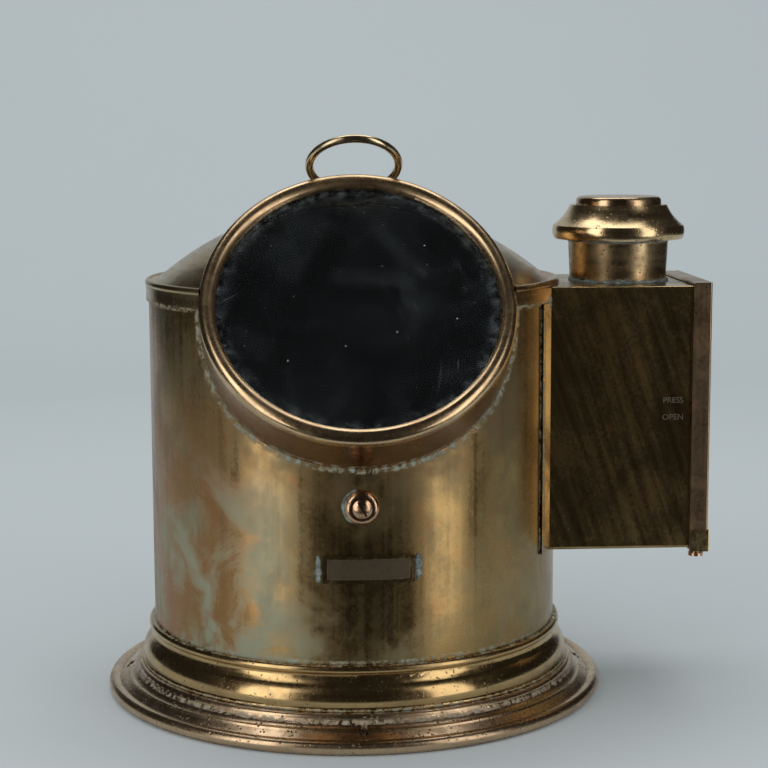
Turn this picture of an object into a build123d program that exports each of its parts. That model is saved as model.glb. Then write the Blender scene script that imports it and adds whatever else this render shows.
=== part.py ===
from build123d import *

# Ship's binnacle in sheet brass: a drum on a moulded base, a dome with a slanted sighting window,
# a gimballed compass inside and an oil-lamp box soldered to the side. Each piece is its own solid.
# Millimetres, +Z up. The origin is the centre of the round base, on the surface it stands on.
# The sighting window faces -Y and the lamp box is on the +X side.

import os
from math import cos, radians, sin, sqrt

# ---------------------------------------------------------------- sheet and clearances
drum_sheet = 1.2
thin_sheet = 1.0
solder_gap = 0.05       # slip fit between soldered or pressed pieces
running_gap = 0.05      # radial clearance of a pin in its hole
free_gap = 0.3          # between pieces that move past each other
overrun = 5.0           # how far a cut runs past the last face it meets

# ---------------------------------------------------------------- base and drum
drum_r = 82.5
drum_inner_r = drum_r - drum_sheet
drum_bottom = 0.8
bore_r = drum_r + solder_gap            # bore of what slips over the drum

flange_r = drum_r + 19.25
flange_bead_r = 2.75
flange_top = 12.2                       # where the skirt sits
skirt_foot_r = drum_r + 5.1
flange_cove_r = drum_r + 11.1           # foot of the cove
flange_cove_z = 7.3
flange_web = 4.0                        # metal under the skirt
flange_sleeve = 2.0                     # ring that hugs the drum
flange_heel = 1.5                       # slant of the hollow under the flange
deck_screw_circle_r = drum_r + 10.5
deck_screw_hole_r = 2.1
deck_screw_count = 4
deck_screw_start = -90                  # one hole is straight in front

skirt_bead_r = 1.9
skirt_bead_z = 27.3
skirt_bead_centre_r = drum_r + 0.5
skirt_top = skirt_bead_z + skirt_bead_r

# ---------------------------------------------------------------- dome
band_bottom = 160.0
dome_apex = band_bottom + 37.6
dome_sphere_r = drum_r + 37.5
dome_centre_z = dome_apex - dome_sphere_r
dome_edge_r = drum_r - 2.9
dome_edge_z = dome_centre_z + sqrt(dome_sphere_r**2 - dome_edge_r**2)
band_r = bore_r + 0.95
dome_bead_r = 1.5
dome_bead_centre_r = band_r - 1.1
dome_bead_z = band_bottom + 7.0
dome_bead_foot_z = dome_bead_z - sqrt(dome_bead_r**2 - (band_r - dome_bead_centre_r) ** 2)
dome_seat_z = band_bottom + 5.0         # inner shoulder that lands on the drum
dome_inner_r = dome_sphere_r - thin_sheet
dome_seat_inner_r = sqrt(dome_inner_r**2 - (dome_seat_z - dome_centre_z) ** 2)
drum_top = dome_seat_z - solder_gap
dome_station = radians(20)              # half-way along the dome's arc
dome_bead_inner_r = dome_bead_centre_r - 0.8 * dome_bead_r
dome_bead_inner_z = dome_bead_z + 0.6 * dome_bead_r

# ---------------------------------------------------------------- sighting hood
hood_tilt = 38.0                        # window normal, degrees above the horizontal
hood_y = 22.2 - drum_r
hood_z = band_bottom + 2.3
hood_r = drum_r - 22.5                  # outer radius of the collar and the bezel
collar_sheet = 1.2
collar_inner_r = hood_r - collar_sheet
collar_front = -2.0                     # measured along the window normal from the bezel's face line
collar_ring_back = -6.0                 # the collar is a full ring down to here
bezel_inner_r = hood_r - 6.4
bezel_crest = 2.9
bezel_side = -0.6                       # where the bezel's outer wall starts to round over
bezel_spigot_r = collar_inner_r - solder_gap
bezel_spigot_wall = 1.0
bezel_spigot_back = -9.0
bezel_lip = 1.0
seal_thickness = 0.5
seal_set_back = 0.6                     # the seal stays out of sight by this much
window_thickness = 3.5
window_r = bezel_spigot_r - bezel_spigot_wall - free_gap / 2
retainer_thickness = 2.0
retainer_width = 3.2

# ---------------------------------------------------------------- carrying ring
ring_wire_r = 1.6
ring_r = 17.45
ring_lean = 37.0                        # degrees above the horizontal, leaning forward
ring_seat = 14.4                        # lug centre, behind the bezel's face along the collar
ring_height = 2.8                       # wire centre above the collar
lug_thickness = 3.5
lug_wall = 1.9
lug_foot_length = 6.0
lug_foot_width = 12.0
lug_foot_thickness = 1.2
lug_depth = 50.0                        # sweep that clears the inside of the collar

# ---------------------------------------------------------------- number plate
plate_x = 2.4
plate_z = 65.7
plate_width = 34.4
plate_height = 10.3
plate_thickness = 1.5
plate_border = 1.1
plate_sunk = 0.7

# ---------------------------------------------------------------- gimbal and compass
pivot_z = 89.4
boss_r = 6.3
boss_height = 4.1
boss_top_r = 4.6
pivot_shank_r = 2.5
pivot_tip_r = 2.0
pivot_head_r = 3.65
pivot_head_height = 2.0
slot_width = 0.9
slot_depth = 1.0
nut_width = 8.0
nut_thickness = 3.0
nut_stand_off = 0.3                     # a flat nut against the curved drum
shank_beyond_nut = 0.5
boss_foot = 3.0                         # drawn this far into the drum, then trimmed
slot_lean = 1.8                         # fall of the screw slot for each unit across
gimbal_outer_r = drum_r - 10.5
gimbal_inner_r = gimbal_outer_r - 5.0
gimbal_height = 10.0
pivot_engagement = 3.8

bowl_screw_r = 2.0
bowl_tip_r = 1.5
bowl_screw_head_r = 3.2
bowl_screw_head = 2.5
bowl_screw_play = 0.7                   # between the bowl's studs and the gimbal ring
bowl_screw_stand_off = 1.0              # between the screw tip and the bowl's wall
bowl_r = gimbal_inner_r - 6.0
bowl_sheet = 1.6
bowl_inner_r = bowl_r - bowl_sheet
bowl_side_bottom = pivot_z - 16.0
bowl_floor = pivot_z - 50.0
bowl_floor_r = 14.0
bowl_glass_z = pivot_z + 1.2
bowl_glass_thickness = 2.7
bowl_rim_z = bowl_glass_z + bowl_glass_thickness
bowl_ledge = 2.0
bowl_curve_r = (((bowl_r - bowl_floor_r) ** 2 + (bowl_side_bottom - bowl_floor) ** 2)
                / (2 * (bowl_side_bottom - bowl_floor)))
bowl_inner_side_bottom = bowl_floor + bowl_curve_r - sqrt(
    (bowl_curve_r - bowl_sheet) ** 2 - (bowl_inner_r - bowl_floor_r) ** 2)
bowl_bezel_height = 2.0
bowl_boss_r = 3.6
bowl_bezel_overhang = 0.8
weight_r = 20.0
weight_height = 7.0

card_r = bowl_r - 9.0
card_thickness = 0.5
card_z = pivot_z - 8.0
card_cap_r = 3.0
card_cap_flange_r = 5.5
card_pin_r = 1.0
card_pin_top = card_z + 1.4
card_cap_height = 4.0
card_cap_flange = 1.5
card_pin_play = 0.2                     # end play of the cap on its pin
pin_stem_r = 2.0
pin_foot_r = 5.0
lubber_height = 8.0
lubber_width = 1.0
lubber_clearance = 1.0
magnet_length = 50.0
magnet_width = 4.0
magnet_height = 3.0
magnet_offset = 9.0

# ---------------------------------------------------------------- lamp box and door
box_half = 32.0                         # the box is centred on y = 0
box_right = drum_r + 57.2
box_bottom = 60.1
box_top = band_bottom + 5.8
box_lip = 3.5
box_fold_r = 1.2
strip_x = drum_r - 9.5                  # outer edge of the soldering strips on the drum
strip_width = 4.2
strip_reach = 9.0
light_half_width = 20.0
light_bottom = box_bottom + 34.9
light_top = box_top - 15.8
frame_x = drum_r + 2.0
light_glass_thickness = 2.0
light_overlap = 2.0

door_overlap = 6.4                      # width of the door's flanges
hinge_x = box_right + 0.9
hinge_y = box_half + 3.2
hinge_pin_r = 1.3
knuckle_r = 2.6
knuckle_length = 20.0
knuckle_count = 5
hinge_middle_z = (box_top + box_bottom) / 2
hinge_leaf_width = 12.0
pin_head_r = 2.0
pin_head = 1.2
tab_height = 8.8
tab_sheet = 0.5
tab_return = 7.0
stud_x = 3.4                            # from the back edge of the door's flange
stud_y = 4.0                            # from the door's front face
stud_neck_r = 2.0
stud_neck = 1.0
stud_head_r = 3.0
stud_head = 1.2
door_back_edge = hinge_y - 3.9

catch_z = box_bottom + 54.7
catch_slit_height = 10.0
catch_slit_x = box_right - 6.5
catch_nib_x = box_right - 4.2
catch_nib_width = 1.6
catch_leaf_thickness = 0.6
catch_travel = 1.6
catch_root_x = box_right - 27.7
catch_back_gap = 0.1                    # between the leaf and the wall
catch_tail = 0.6                        # leaf beyond the nib
rivet_r = 0.9
rivet_head_r = 1.8
rivet_head = 0.8
rivet_inset = 3.0

# ---------------------------------------------------------------- chimney
chimney_x = drum_r + 26.5
neck_bottom_r = 19.6
neck_top_r = neck_bottom_r + 0.7
neck_top = box_top + 24.2
cap_bottom = box_top + 17.2
cap_rim_r = neck_top_r + 6.6
cap_rim_top = cap_bottom + 5.4
cap_top = cap_bottom + 13.7
cap_top_r = cap_rim_r - 7.3
button_r = cap_top_r - 2.3
button_top = cap_top + 3.7
button_side = 1.4
button_round = 2.2
cap_tuck = 0.9                          # the rim is this much smaller at its mouth
cap_roll = 0.5
vent_hole_r = 1.5
vent_hole_count = 16

# ---------------------------------------------------------------- oil lamp
font_x = drum_r + 27.5
font_length = 40.0
font_width = 44.0
font_height = 28.0
font_wall = 0.8
font_corner_r = 5.0
font_floor = box_bottom + thin_sheet
font_top = font_floor + font_height
guide_height = 5.0
burner_r = 10.5
burner_height = 15.0
burner_flange = 0.8
burner_flange_height = 1.5
burner_neck_r = burner_r - 2.0
gallery_round = 3.0
air_hole_r = 1.2
air_hole_height = 4.0
wick_width = 9.0
wick_thickness = 1.8
wick_tube_gap = 0.3
wick_tube_wall = 0.7
wick_tube_top = font_top + 21.0
wick_tube_bottom = font_top - 12.0
wick_top = wick_tube_top + 3.0
wick_bottom = font_floor + 13.0
spindle_r = 1.0
spindle_z = font_top + 8.0
wheel_r = 3.9
wheel_teeth = 12
wheel_width = 3.0
wheel_groove_r = 0.55
wheel_stand_off = 0.2                   # between the wheel and the wick
spindle_y = -(wick_thickness / 2 + wheel_stand_off + wheel_r)
knob_r = 5.0
knob_x = box_right - 6.2
knob_width = 3.5
knob_grooves = 24
knob_groove_r = 0.35
reflector_r = 20.0
reflector_top = font_top + 50.0
reflector_half_angle = 55.0
filler_x = font_x - 14.0
filler_y = 14.0
filler_r = 5.0
filler_height = 5.0
filler_cap_wall = 1.2
filler_cap_lift = 1.0                   # the cap's rim stands this far above the tank
filler_cap_grooves = 18
filler_cap_groove_r = 0.3
loop_half = 9.0
loop_z = font_floor + 15.0
loop_reach = 7.0
loop_wire_r = 1.2
loop_straight = 2.0

finished = []


def keep(part, label):
    """Name a finished piece and put it on the list of files to write."""
    part.label = label
    finished.append(part)


# ---------------------------------------------------------------- planes used by several pieces
hood_normal = Vector(0, -cos(radians(hood_tilt)), sin(radians(hood_tilt)))
hood_up = Vector(0, sin(radians(hood_tilt)), cos(radians(hood_tilt)))
hood_centre = Vector(0, hood_y, hood_z)
hood_plane = Plane(origin=hood_centre, x_dir=(1, 0, 0), z_dir=hood_normal)
hood_section = Plane(origin=hood_centre, x_dir=(1, 0, 0), z_dir=-hood_up)
hood_axis = Axis(hood_centre, hood_normal)
pivot_plane = Plane.XY.offset(pivot_z)
pivot_axis_y = Axis((0, 0, pivot_z), (0, 1, 0))
pivot_axis_x = Axis((0, 0, pivot_z), (1, 0, 0))
chimney_section = Plane(origin=(chimney_x, 0, 0), x_dir=(1, 0, 0), z_dir=(0, -1, 0))
chimney_axis = Axis((chimney_x, 0, 0), (0, 0, 1))
lamp_axis = chimney_axis
lamp_section = chimney_section
ring_pivot = hood_centre + hood_up * (hood_r + ring_height) - hood_normal * ring_seat
ring_direction = Vector(0, -cos(radians(ring_lean)), sin(radians(ring_lean)))
ring_centre = ring_pivot + ring_direction * ring_r

# ---------------------------------------------------------------- outer form of drum and dome
# A solid of the closed outer shape, used only to trim what is soldered onto it.
with BuildPart() as outer_form:
    with BuildSketch(Plane.XZ):
        with BuildLine():
            Polyline((0, 0), (drum_r, 0), (drum_r, band_bottom), (band_r, band_bottom),
                     (band_r, dome_bead_foot_z))
            ThreePointArc((band_r, dome_bead_foot_z),
                          (dome_bead_centre_r + dome_bead_r, dome_bead_z),
                          (dome_bead_inner_r, dome_bead_inner_z))
            Line((dome_bead_inner_r, dome_bead_inner_z), (dome_edge_r, dome_edge_z))
            ThreePointArc((dome_edge_r, dome_edge_z),
                          (dome_sphere_r * sin(dome_station),
                           dome_centre_z + dome_sphere_r * cos(dome_station)),
                          (0, dome_apex))
            Line((0, dome_apex), (0, 0))
        make_face()
    revolve(axis=Axis.Z)

# ---------------------------------------------------------------- base flange
with BuildPart() as base_flange:
    bead_r = flange_r - flange_bead_r
    bead_side = flange_bead_r * sin(radians(45))
    with BuildSketch(Plane.XZ):
        with BuildLine():
            Polyline((bore_r, 0), (bore_r, flange_top), (skirt_foot_r, flange_top))
            ThreePointArc((skirt_foot_r, flange_top),
                          (skirt_foot_r + 1.9, flange_top - 0.5),
                          (skirt_foot_r + 2.4, flange_top - 1.7))
            ThreePointArc((skirt_foot_r + 2.4, flange_top - 1.7),
                          (skirt_foot_r + 3.6, flange_cove_z + 1.4),
                          (flange_cove_r, flange_cove_z))
            Polyline((flange_cove_r, flange_cove_z), (flange_cove_r + 0.3, flange_cove_z - 0.7),
                     (bead_r - bead_side, flange_bead_r + bead_side))
            ThreePointArc((bead_r - bead_side, flange_bead_r + bead_side),
                          (flange_r, flange_bead_r), (bead_r, 0))
            Polyline((bead_r, 0), (skirt_foot_r + flange_heel, 0),
                     (skirt_foot_r, flange_top - flange_web),
                     (bore_r + flange_sleeve, flange_top - flange_web),
                     (bore_r + flange_sleeve, 0), (bore_r, 0))
        make_face()
    revolve(axis=Axis.Z)
    with PolarLocations(deck_screw_circle_r, deck_screw_count, start_angle=deck_screw_start):
        Hole(radius=deck_screw_hole_r)
keep(base_flange.part, "base_flange")

# ---------------------------------------------------------------- skirt moulding
with BuildPart() as base_skirt:
    bead_foot_r = skirt_bead_centre_r + skirt_bead_r * cos(radians(80))
    bead_foot_z = skirt_bead_z - skirt_bead_r * sin(radians(80))
    ovolo_top_z = bead_foot_z - 3.6
    with BuildSketch(Plane.XZ):
        with BuildLine():
            Polyline((bore_r, flange_top), (skirt_foot_r - 0.2, flange_top))
            ThreePointArc((skirt_foot_r - 0.2, flange_top), (skirt_foot_r + 0.4, flange_top + 0.9),
                          (skirt_foot_r - 0.3, flange_top + 1.8))
            ThreePointArc((skirt_foot_r - 0.3, flange_top + 1.8),
                          (skirt_foot_r - 0.6, flange_top + 6.0),
                          (bead_foot_r + 1.3, ovolo_top_z))
            ThreePointArc((bead_foot_r + 1.3, ovolo_top_z),
                          (bead_foot_r + 0.3, ovolo_top_z + 1.5),
                          (bead_foot_r, bead_foot_z))
            ThreePointArc((bead_foot_r, bead_foot_z),
                          (skirt_bead_centre_r + skirt_bead_r, skirt_bead_z),
                          (skirt_bead_centre_r, skirt_top))
            Polyline((skirt_bead_centre_r, skirt_top), (bore_r, skirt_top), (bore_r, flange_top))
        make_face()
    revolve(axis=Axis.Z)
keep(base_skirt.part, "base_skirt")

# ---------------------------------------------------------------- drum
with BuildPart() as drum:
    with BuildSketch(Plane.XY.offset(drum_bottom)):
        Circle(drum_r)
        Circle(drum_inner_r, mode=Mode.SUBTRACT)
    extrude(amount=drum_top - drum_bottom)
    # mouth of the sighting hood
    with BuildSketch(hood_plane.offset(collar_ring_back)):
        Circle(hood_r + solder_gap)
    extrude(amount=hood_r, mode=Mode.SUBTRACT)
    with BuildSketch(hood_plane.offset(collar_ring_back)):
        Circle(collar_inner_r)
    extrude(amount=-hood_r, mode=Mode.SUBTRACT)
    # window for the lamp's light
    with BuildSketch(Plane.YZ):
        with Locations((0, (light_bottom + light_top) / 2)):
            Rectangle(2 * light_half_width, light_top - light_bottom)
    extrude(amount=drum_r + overrun, mode=Mode.SUBTRACT)
    # front and rear holes for the gimbal screws
    with BuildSketch(Plane.XZ):
        with Locations((0, pivot_z)):
            Circle(pivot_shank_r + solder_gap)
    extrude(amount=drum_r + overrun, both=True, mode=Mode.SUBTRACT)
keep(drum.part, "drum")

# ---------------------------------------------------------------- dome
with BuildPart() as dome:
    inner_apex = dome_apex - thin_sheet
    with BuildSketch(Plane.XZ):
        with BuildLine():
            Polyline((bore_r, band_bottom), (band_r, band_bottom), (band_r, dome_bead_foot_z))
            ThreePointArc((band_r, dome_bead_foot_z),
                          (dome_bead_centre_r + dome_bead_r, dome_bead_z),
                          (dome_bead_inner_r, dome_bead_inner_z))
            Line((dome_bead_inner_r, dome_bead_inner_z), (dome_edge_r, dome_edge_z))
            ThreePointArc((dome_edge_r, dome_edge_z),
                          (dome_sphere_r * sin(dome_station),
                           dome_centre_z + dome_sphere_r * cos(dome_station)),
                          (0, dome_apex))
            Line((0, dome_apex), (0, inner_apex))
            ThreePointArc((0, inner_apex),
                          (dome_inner_r * sin(dome_station),
                           dome_centre_z + dome_inner_r * cos(dome_station)),
                          (dome_seat_inner_r, dome_seat_z))
            Polyline((dome_seat_inner_r, dome_seat_z), (bore_r, dome_seat_z),
                     (bore_r, band_bottom))
        make_face()
    revolve(axis=Axis.Z)
    with BuildSketch(hood_plane.offset(collar_ring_back)):
        Circle(hood_r + solder_gap)
    extrude(amount=hood_r, mode=Mode.SUBTRACT)
    with BuildSketch(hood_plane.offset(collar_ring_back)):
        Circle(collar_inner_r)
    extrude(amount=-hood_r, mode=Mode.SUBTRACT)
keep(dome.part, "dome")

# ---------------------------------------------------------------- hood collar
with BuildPart() as hood_collar:
    with BuildSketch(hood_plane.offset(collar_front)):
        Circle(hood_r)
        Circle(collar_inner_r, mode=Mode.SUBTRACT)
    extrude(amount=-hood_r)
    add(outer_form.part, mode=Mode.SUBTRACT)
    with BuildSketch(hood_plane.offset(collar_front)):
        Circle(hood_r)
        Circle(collar_inner_r, mode=Mode.SUBTRACT)
    extrude(amount=collar_ring_back - collar_front)
keep(hood_collar.part, "hood_collar")

# ---------------------------------------------------------------- bezel
bezel_crest_r = (hood_r + bezel_inner_r) / 2
spigot_inner_r = bezel_spigot_r - bezel_spigot_wall
with BuildPart() as bezel:
    with BuildSketch(hood_section):
        with BuildLine():
            Line((hood_r, collar_front), (hood_r, bezel_side))
            ThreePointArc((hood_r, bezel_side), (bezel_crest_r, bezel_crest), (bezel_inner_r, 0))
            Polyline((bezel_inner_r, 0), (bezel_inner_r, -bezel_lip), (spigot_inner_r, -bezel_lip),
                     (spigot_inner_r, bezel_spigot_back), (bezel_spigot_r, bezel_spigot_back),
                     (bezel_spigot_r, collar_front), (hood_r, collar_front))
        make_face()
    revolve(axis=hood_axis)
keep(bezel.part, "bezel")

# ---------------------------------------------------------------- window seal, glass and retainer
with BuildPart() as window_seal:
    with BuildSketch(hood_plane.offset(-bezel_lip)):
        Circle(window_r)
        Circle(bezel_inner_r + seal_set_back, mode=Mode.SUBTRACT)
    extrude(amount=-seal_thickness)
keep(window_seal.part, "window_seal")

with BuildPart() as window_glass:
    with BuildSketch(hood_plane.offset(-bezel_lip - seal_thickness)):
        Circle(window_r)
    extrude(amount=-window_thickness)
keep(window_glass.part, "window_glass")

with BuildPart() as window_retainer:
    with BuildSketch(hood_plane.offset(-bezel_lip - seal_thickness - window_thickness)):
        Circle(window_r)
        Circle(window_r - retainer_width, mode=Mode.SUBTRACT)
    extrude(amount=-retainer_thickness)
keep(window_retainer.part, "window_retainer")

# ---------------------------------------------------------------- carrying ring and its lug
with BuildPart() as ring_lug:
    with BuildSketch(Plane.YZ.offset(-lug_thickness / 2)):
        with Locations((ring_pivot.Y, ring_pivot.Z)):
            Circle(ring_wire_r + lug_wall)
        foot_middle = hood_centre + hood_up * (hood_r - 1) - hood_normal * ring_seat
        with Locations(Location((foot_middle.Y, foot_middle.Z), -hood_tilt)):
            Rectangle(lug_foot_length + 2, 2)
        make_hull()
        with Locations((ring_pivot.Y, ring_pivot.Z)):
            Circle(ring_wire_r + free_gap, mode=Mode.SUBTRACT)
    extrude(amount=lug_thickness)
    with BuildSketch(hood_plane.offset(-ring_seat - lug_foot_length / 2)):
        Circle(hood_r + lug_foot_thickness)
        Circle(hood_r, mode=Mode.SUBTRACT)
        with Locations((0, hood_r)):
            Rectangle(lug_foot_width, 4 * lug_foot_thickness, mode=Mode.INTERSECT)
    extrude(amount=lug_foot_length)
    with BuildSketch(hood_plane.offset(-bezel_lip)):
        Circle(hood_r)
    extrude(amount=-lug_depth, mode=Mode.SUBTRACT)
    add(outer_form.part, mode=Mode.SUBTRACT)
keep(ring_lug.part, "ring_lug")

ring_normal = ring_direction.cross(Vector(1, 0, 0))
with BuildPart() as carrying_ring:
    with BuildSketch(Plane(origin=ring_centre, x_dir=(1, 0, 0), z_dir=ring_direction)):
        with Locations((ring_r, 0)):
            Circle(ring_wire_r)
    revolve(axis=Axis(ring_centre, ring_normal))
keep(carrying_ring.part, "carrying_ring")

# ---------------------------------------------------------------- number plate
with BuildPart() as number_plate:
    with BuildSketch(Plane.XY.offset(plate_z - plate_height / 2)):
        Circle(drum_r + plate_thickness)
        Circle(drum_r, mode=Mode.SUBTRACT)
        with Locations((plate_x, -drum_r)):
            Rectangle(plate_width, drum_r / 4, mode=Mode.INTERSECT)
    extrude(amount=plate_height)
    with BuildSketch(Plane.XY.offset(plate_z - plate_height / 2 + plate_border)):
        Circle(drum_r + 2 * plate_thickness)
        Circle(drum_r + plate_thickness - plate_sunk, mode=Mode.SUBTRACT)
        with Locations((plate_x, -drum_r)):
            Rectangle(plate_width - 2 * plate_border, drum_r / 4, mode=Mode.INTERSECT)
    extrude(amount=plate_height - 2 * plate_border, mode=Mode.SUBTRACT)
keep(number_plate.part, "number_plate")

# ---------------------------------------------------------------- gimbal screws in the drum
# Front pieces are drawn along -Y and mirrored for the rear.
boss_face = drum_r + boss_height
with BuildPart() as pivot_bosses:
    with BuildSketch(pivot_plane):
        with BuildLine():
            bore = pivot_shank_r + solder_gap
            Polyline((bore, -boss_face), (bore, -drum_r + boss_foot), (boss_r, -drum_r + boss_foot),
                     (boss_r, -drum_r - 1))
            ThreePointArc((boss_r, -drum_r - 1), (boss_r - 0.4, -boss_face + 0.7),
                          (boss_top_r, -boss_face))
            Line((boss_top_r, -boss_face), (bore, -boss_face))
        make_face()
    revolve(axis=pivot_axis_y)
    with BuildSketch(Plane.XY):
        Circle(drum_r)
    extrude(amount=2 * pivot_z, mode=Mode.SUBTRACT)
    mirror(about=Plane.XZ)
keep(pivot_bosses.part, "pivot_bosses")

tip_end = gimbal_outer_r - pivot_engagement
shank_end = drum_inner_r - nut_thickness - shank_beyond_nut
with BuildPart() as pivot_screws:
    with BuildSketch(pivot_plane):
        with BuildLine():
            head_top = boss_face + pivot_head_height
            Polyline((0, -head_top), (0, -tip_end), (pivot_tip_r - 0.5, -tip_end),
                     (pivot_tip_r, -tip_end - 0.5), (pivot_tip_r, -shank_end),
                     (pivot_shank_r, -shank_end), (pivot_shank_r, -boss_face),
                     (pivot_head_r, -boss_face), (pivot_head_r, -boss_face - 0.6))
            ThreePointArc((pivot_head_r, -boss_face - 0.6), (pivot_head_r / 2, -head_top + 0.35),
                          (0, -head_top))
        make_face()
    revolve(axis=pivot_axis_y)
    slot_plane = Plane(origin=(0, -boss_face - pivot_head_height, pivot_z), x_dir=(1, 0, -slot_lean),
                       z_dir=(0, 1, 0))
    with BuildSketch(slot_plane):
        Rectangle(3 * pivot_head_r, slot_width)
    extrude(amount=slot_depth, mode=Mode.SUBTRACT)
    mirror(about=Plane.XZ)
keep(pivot_screws.part, "pivot_screws")

with BuildPart() as pivot_nuts:
    nut_face = Plane(origin=(0, -drum_inner_r + nut_stand_off, pivot_z), z_dir=(0, 1, 0))
    with BuildSketch(nut_face):
        RegularPolygon(nut_width / 2, 6, major_radius=False)
        Circle(pivot_shank_r + solder_gap, mode=Mode.SUBTRACT)
    extrude(amount=nut_thickness)
    mirror(about=Plane.XZ)
keep(pivot_nuts.part, "pivot_nuts")

# ---------------------------------------------------------------- gimbal ring
with BuildPart() as gimbal_ring:
    with BuildSketch(Plane.XY.offset(pivot_z - gimbal_height / 2)):
        Circle(gimbal_outer_r)
        Circle(gimbal_inner_r, mode=Mode.SUBTRACT)
    extrude(amount=gimbal_height)
    with BuildSketch(Plane.XZ):
        with Locations((0, pivot_z)):
            Circle(pivot_tip_r + running_gap)
    extrude(amount=gimbal_outer_r + overrun, both=True, mode=Mode.SUBTRACT)
    with BuildSketch(Plane.YZ):
        with Locations((0, pivot_z)):
            Circle(bowl_screw_r + solder_gap)
    extrude(amount=gimbal_outer_r + overrun, both=True, mode=Mode.SUBTRACT)
keep(gimbal_ring.part, "gimbal_ring")

bowl_boss_end = gimbal_inner_r - bowl_screw_play
bowl_tip_end = bowl_r + bowl_screw_stand_off
with BuildPart() as bowl_screws:
    with BuildSketch(pivot_plane):
        with BuildLine():
            head_end = gimbal_outer_r + bowl_screw_head
            Polyline((bowl_tip_end, 0), (bowl_tip_end, bowl_tip_r), (gimbal_inner_r, bowl_tip_r),
                     (gimbal_inner_r, bowl_screw_r), (gimbal_outer_r, bowl_screw_r),
                     (gimbal_outer_r, bowl_screw_head_r), (head_end, bowl_screw_head_r),
                     (head_end, 0), (bowl_tip_end, 0))
        make_face()
    revolve(axis=pivot_axis_x)
    with BuildSketch(Plane.YZ.offset(gimbal_outer_r + bowl_screw_head)):
        with Locations((0, pivot_z)):
            Rectangle(3 * bowl_screw_head_r, slot_width)
    extrude(amount=-slot_depth, mode=Mode.SUBTRACT)
    mirror(about=Plane.YZ)
keep(bowl_screws.part, "bowl_screws")

# ---------------------------------------------------------------- compass bowl
with BuildPart() as compass_bowl:
    with BuildSketch(Plane.XZ):
        with BuildLine():
            ledge_r = bowl_inner_r - bowl_ledge
            Polyline((0, bowl_floor), (bowl_floor_r, bowl_floor))
            TangentArc((bowl_floor_r, bowl_floor), (bowl_r, bowl_side_bottom), tangent=(1, 0))
            Polyline((bowl_r, bowl_side_bottom), (bowl_r, bowl_rim_z), (bowl_inner_r, bowl_rim_z),
                     (bowl_inner_r, bowl_glass_z), (ledge_r, bowl_glass_z),
                     (ledge_r, bowl_glass_z - 1), (bowl_inner_r, bowl_glass_z - 1 - bowl_ledge),
                     (bowl_inner_r, bowl_inner_side_bottom))
            TangentArc((bowl_floor_r, bowl_floor + bowl_sheet),
                       (bowl_inner_r, bowl_inner_side_bottom), tangent=(1, 0))
            Polyline((bowl_floor_r, bowl_floor + bowl_sheet), (0, bowl_floor + bowl_sheet),
                     (0, bowl_floor))
        make_face()
    revolve(axis=Axis.Z)
    bowl_wall_middle = bowl_r - bowl_sheet / 2
    for side in (1, -1):
        stud_plane = Plane(origin=(side * bowl_wall_middle, 0, pivot_z), z_dir=(side, 0, 0))
        with BuildSketch(stud_plane):
            Circle(bowl_boss_r)
        extrude(amount=bowl_boss_end - bowl_wall_middle)
        stud_mouth = Plane(origin=(side * bowl_boss_end, 0, pivot_z), z_dir=(side, 0, 0))
        with BuildSketch(stud_mouth):
            Circle(bowl_tip_r + running_gap)
        extrude(amount=bowl_tip_end - free_gap - bowl_boss_end, mode=Mode.SUBTRACT)
keep(compass_bowl.part, "compass_bowl")

with BuildPart() as bowl_glass:
    with BuildSketch(Plane.XY.offset(bowl_glass_z)):
        Circle(bowl_inner_r - solder_gap)
    extrude(amount=bowl_glass_thickness)
keep(bowl_glass.part, "bowl_glass")

with BuildPart() as bowl_bezel:
    with BuildSketch(Plane.XY.offset(bowl_rim_z)):
        Circle(bowl_r + bowl_bezel_overhang)
        Circle(bowl_inner_r - 1.3 * bowl_ledge, mode=Mode.SUBTRACT)
    extrude(amount=bowl_bezel_height)
    fillet(bowl_bezel.edges().group_by(Axis.Z)[-1], bowl_bezel_height / 3)
keep(bowl_bezel.part, "bowl_bezel")

with BuildPart() as bowl_weight:
    with BuildSketch(Plane.XY.offset(bowl_floor - weight_height)):
        Circle(weight_r)
    extrude(amount=weight_height)
    fillet(bowl_weight.edges().group_by(Axis.Z)[0], weight_height / 3)
keep(bowl_weight.part, "bowl_weight")

with BuildPart() as card_pivot:
    with BuildSketch(Plane.XZ):
        with BuildLine():
            stem_foot = bowl_floor + bowl_sheet
            stem_top = card_z - 2 * magnet_height
            Polyline((0, stem_foot), (pin_foot_r, stem_foot), (pin_foot_r, stem_foot + 3),
                     (pin_stem_r, stem_foot + 5), (pin_stem_r, stem_top),
                     (card_pin_r, stem_top + 2), (card_pin_r, card_pin_top - card_pin_r),
                     (0, card_pin_top), (0, stem_foot))
        make_face()
    revolve(axis=Axis.Z)
keep(card_pivot.part, "card_pivot")

with BuildPart() as lubber_line:
    lubber_outer = bowl_inner_r - solder_gap
    lubber_inner = card_r + lubber_clearance
    with BuildSketch(Plane.XY.offset(card_z - lubber_height / 2)):
        with Locations((0, -(lubber_outer + lubber_inner) / 2)):
            Rectangle(lubber_width, lubber_outer - lubber_inner)
    extrude(amount=lubber_height)
keep(lubber_line.part, "lubber_line")

# ---------------------------------------------------------------- compass card
with BuildPart() as compass_card:
    with BuildSketch(Plane.XY.offset(card_z)):
        Circle(card_r)
        Circle(card_cap_r + solder_gap, mode=Mode.SUBTRACT)
    extrude(amount=card_thickness)
keep(compass_card.part, "compass_card")

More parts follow.
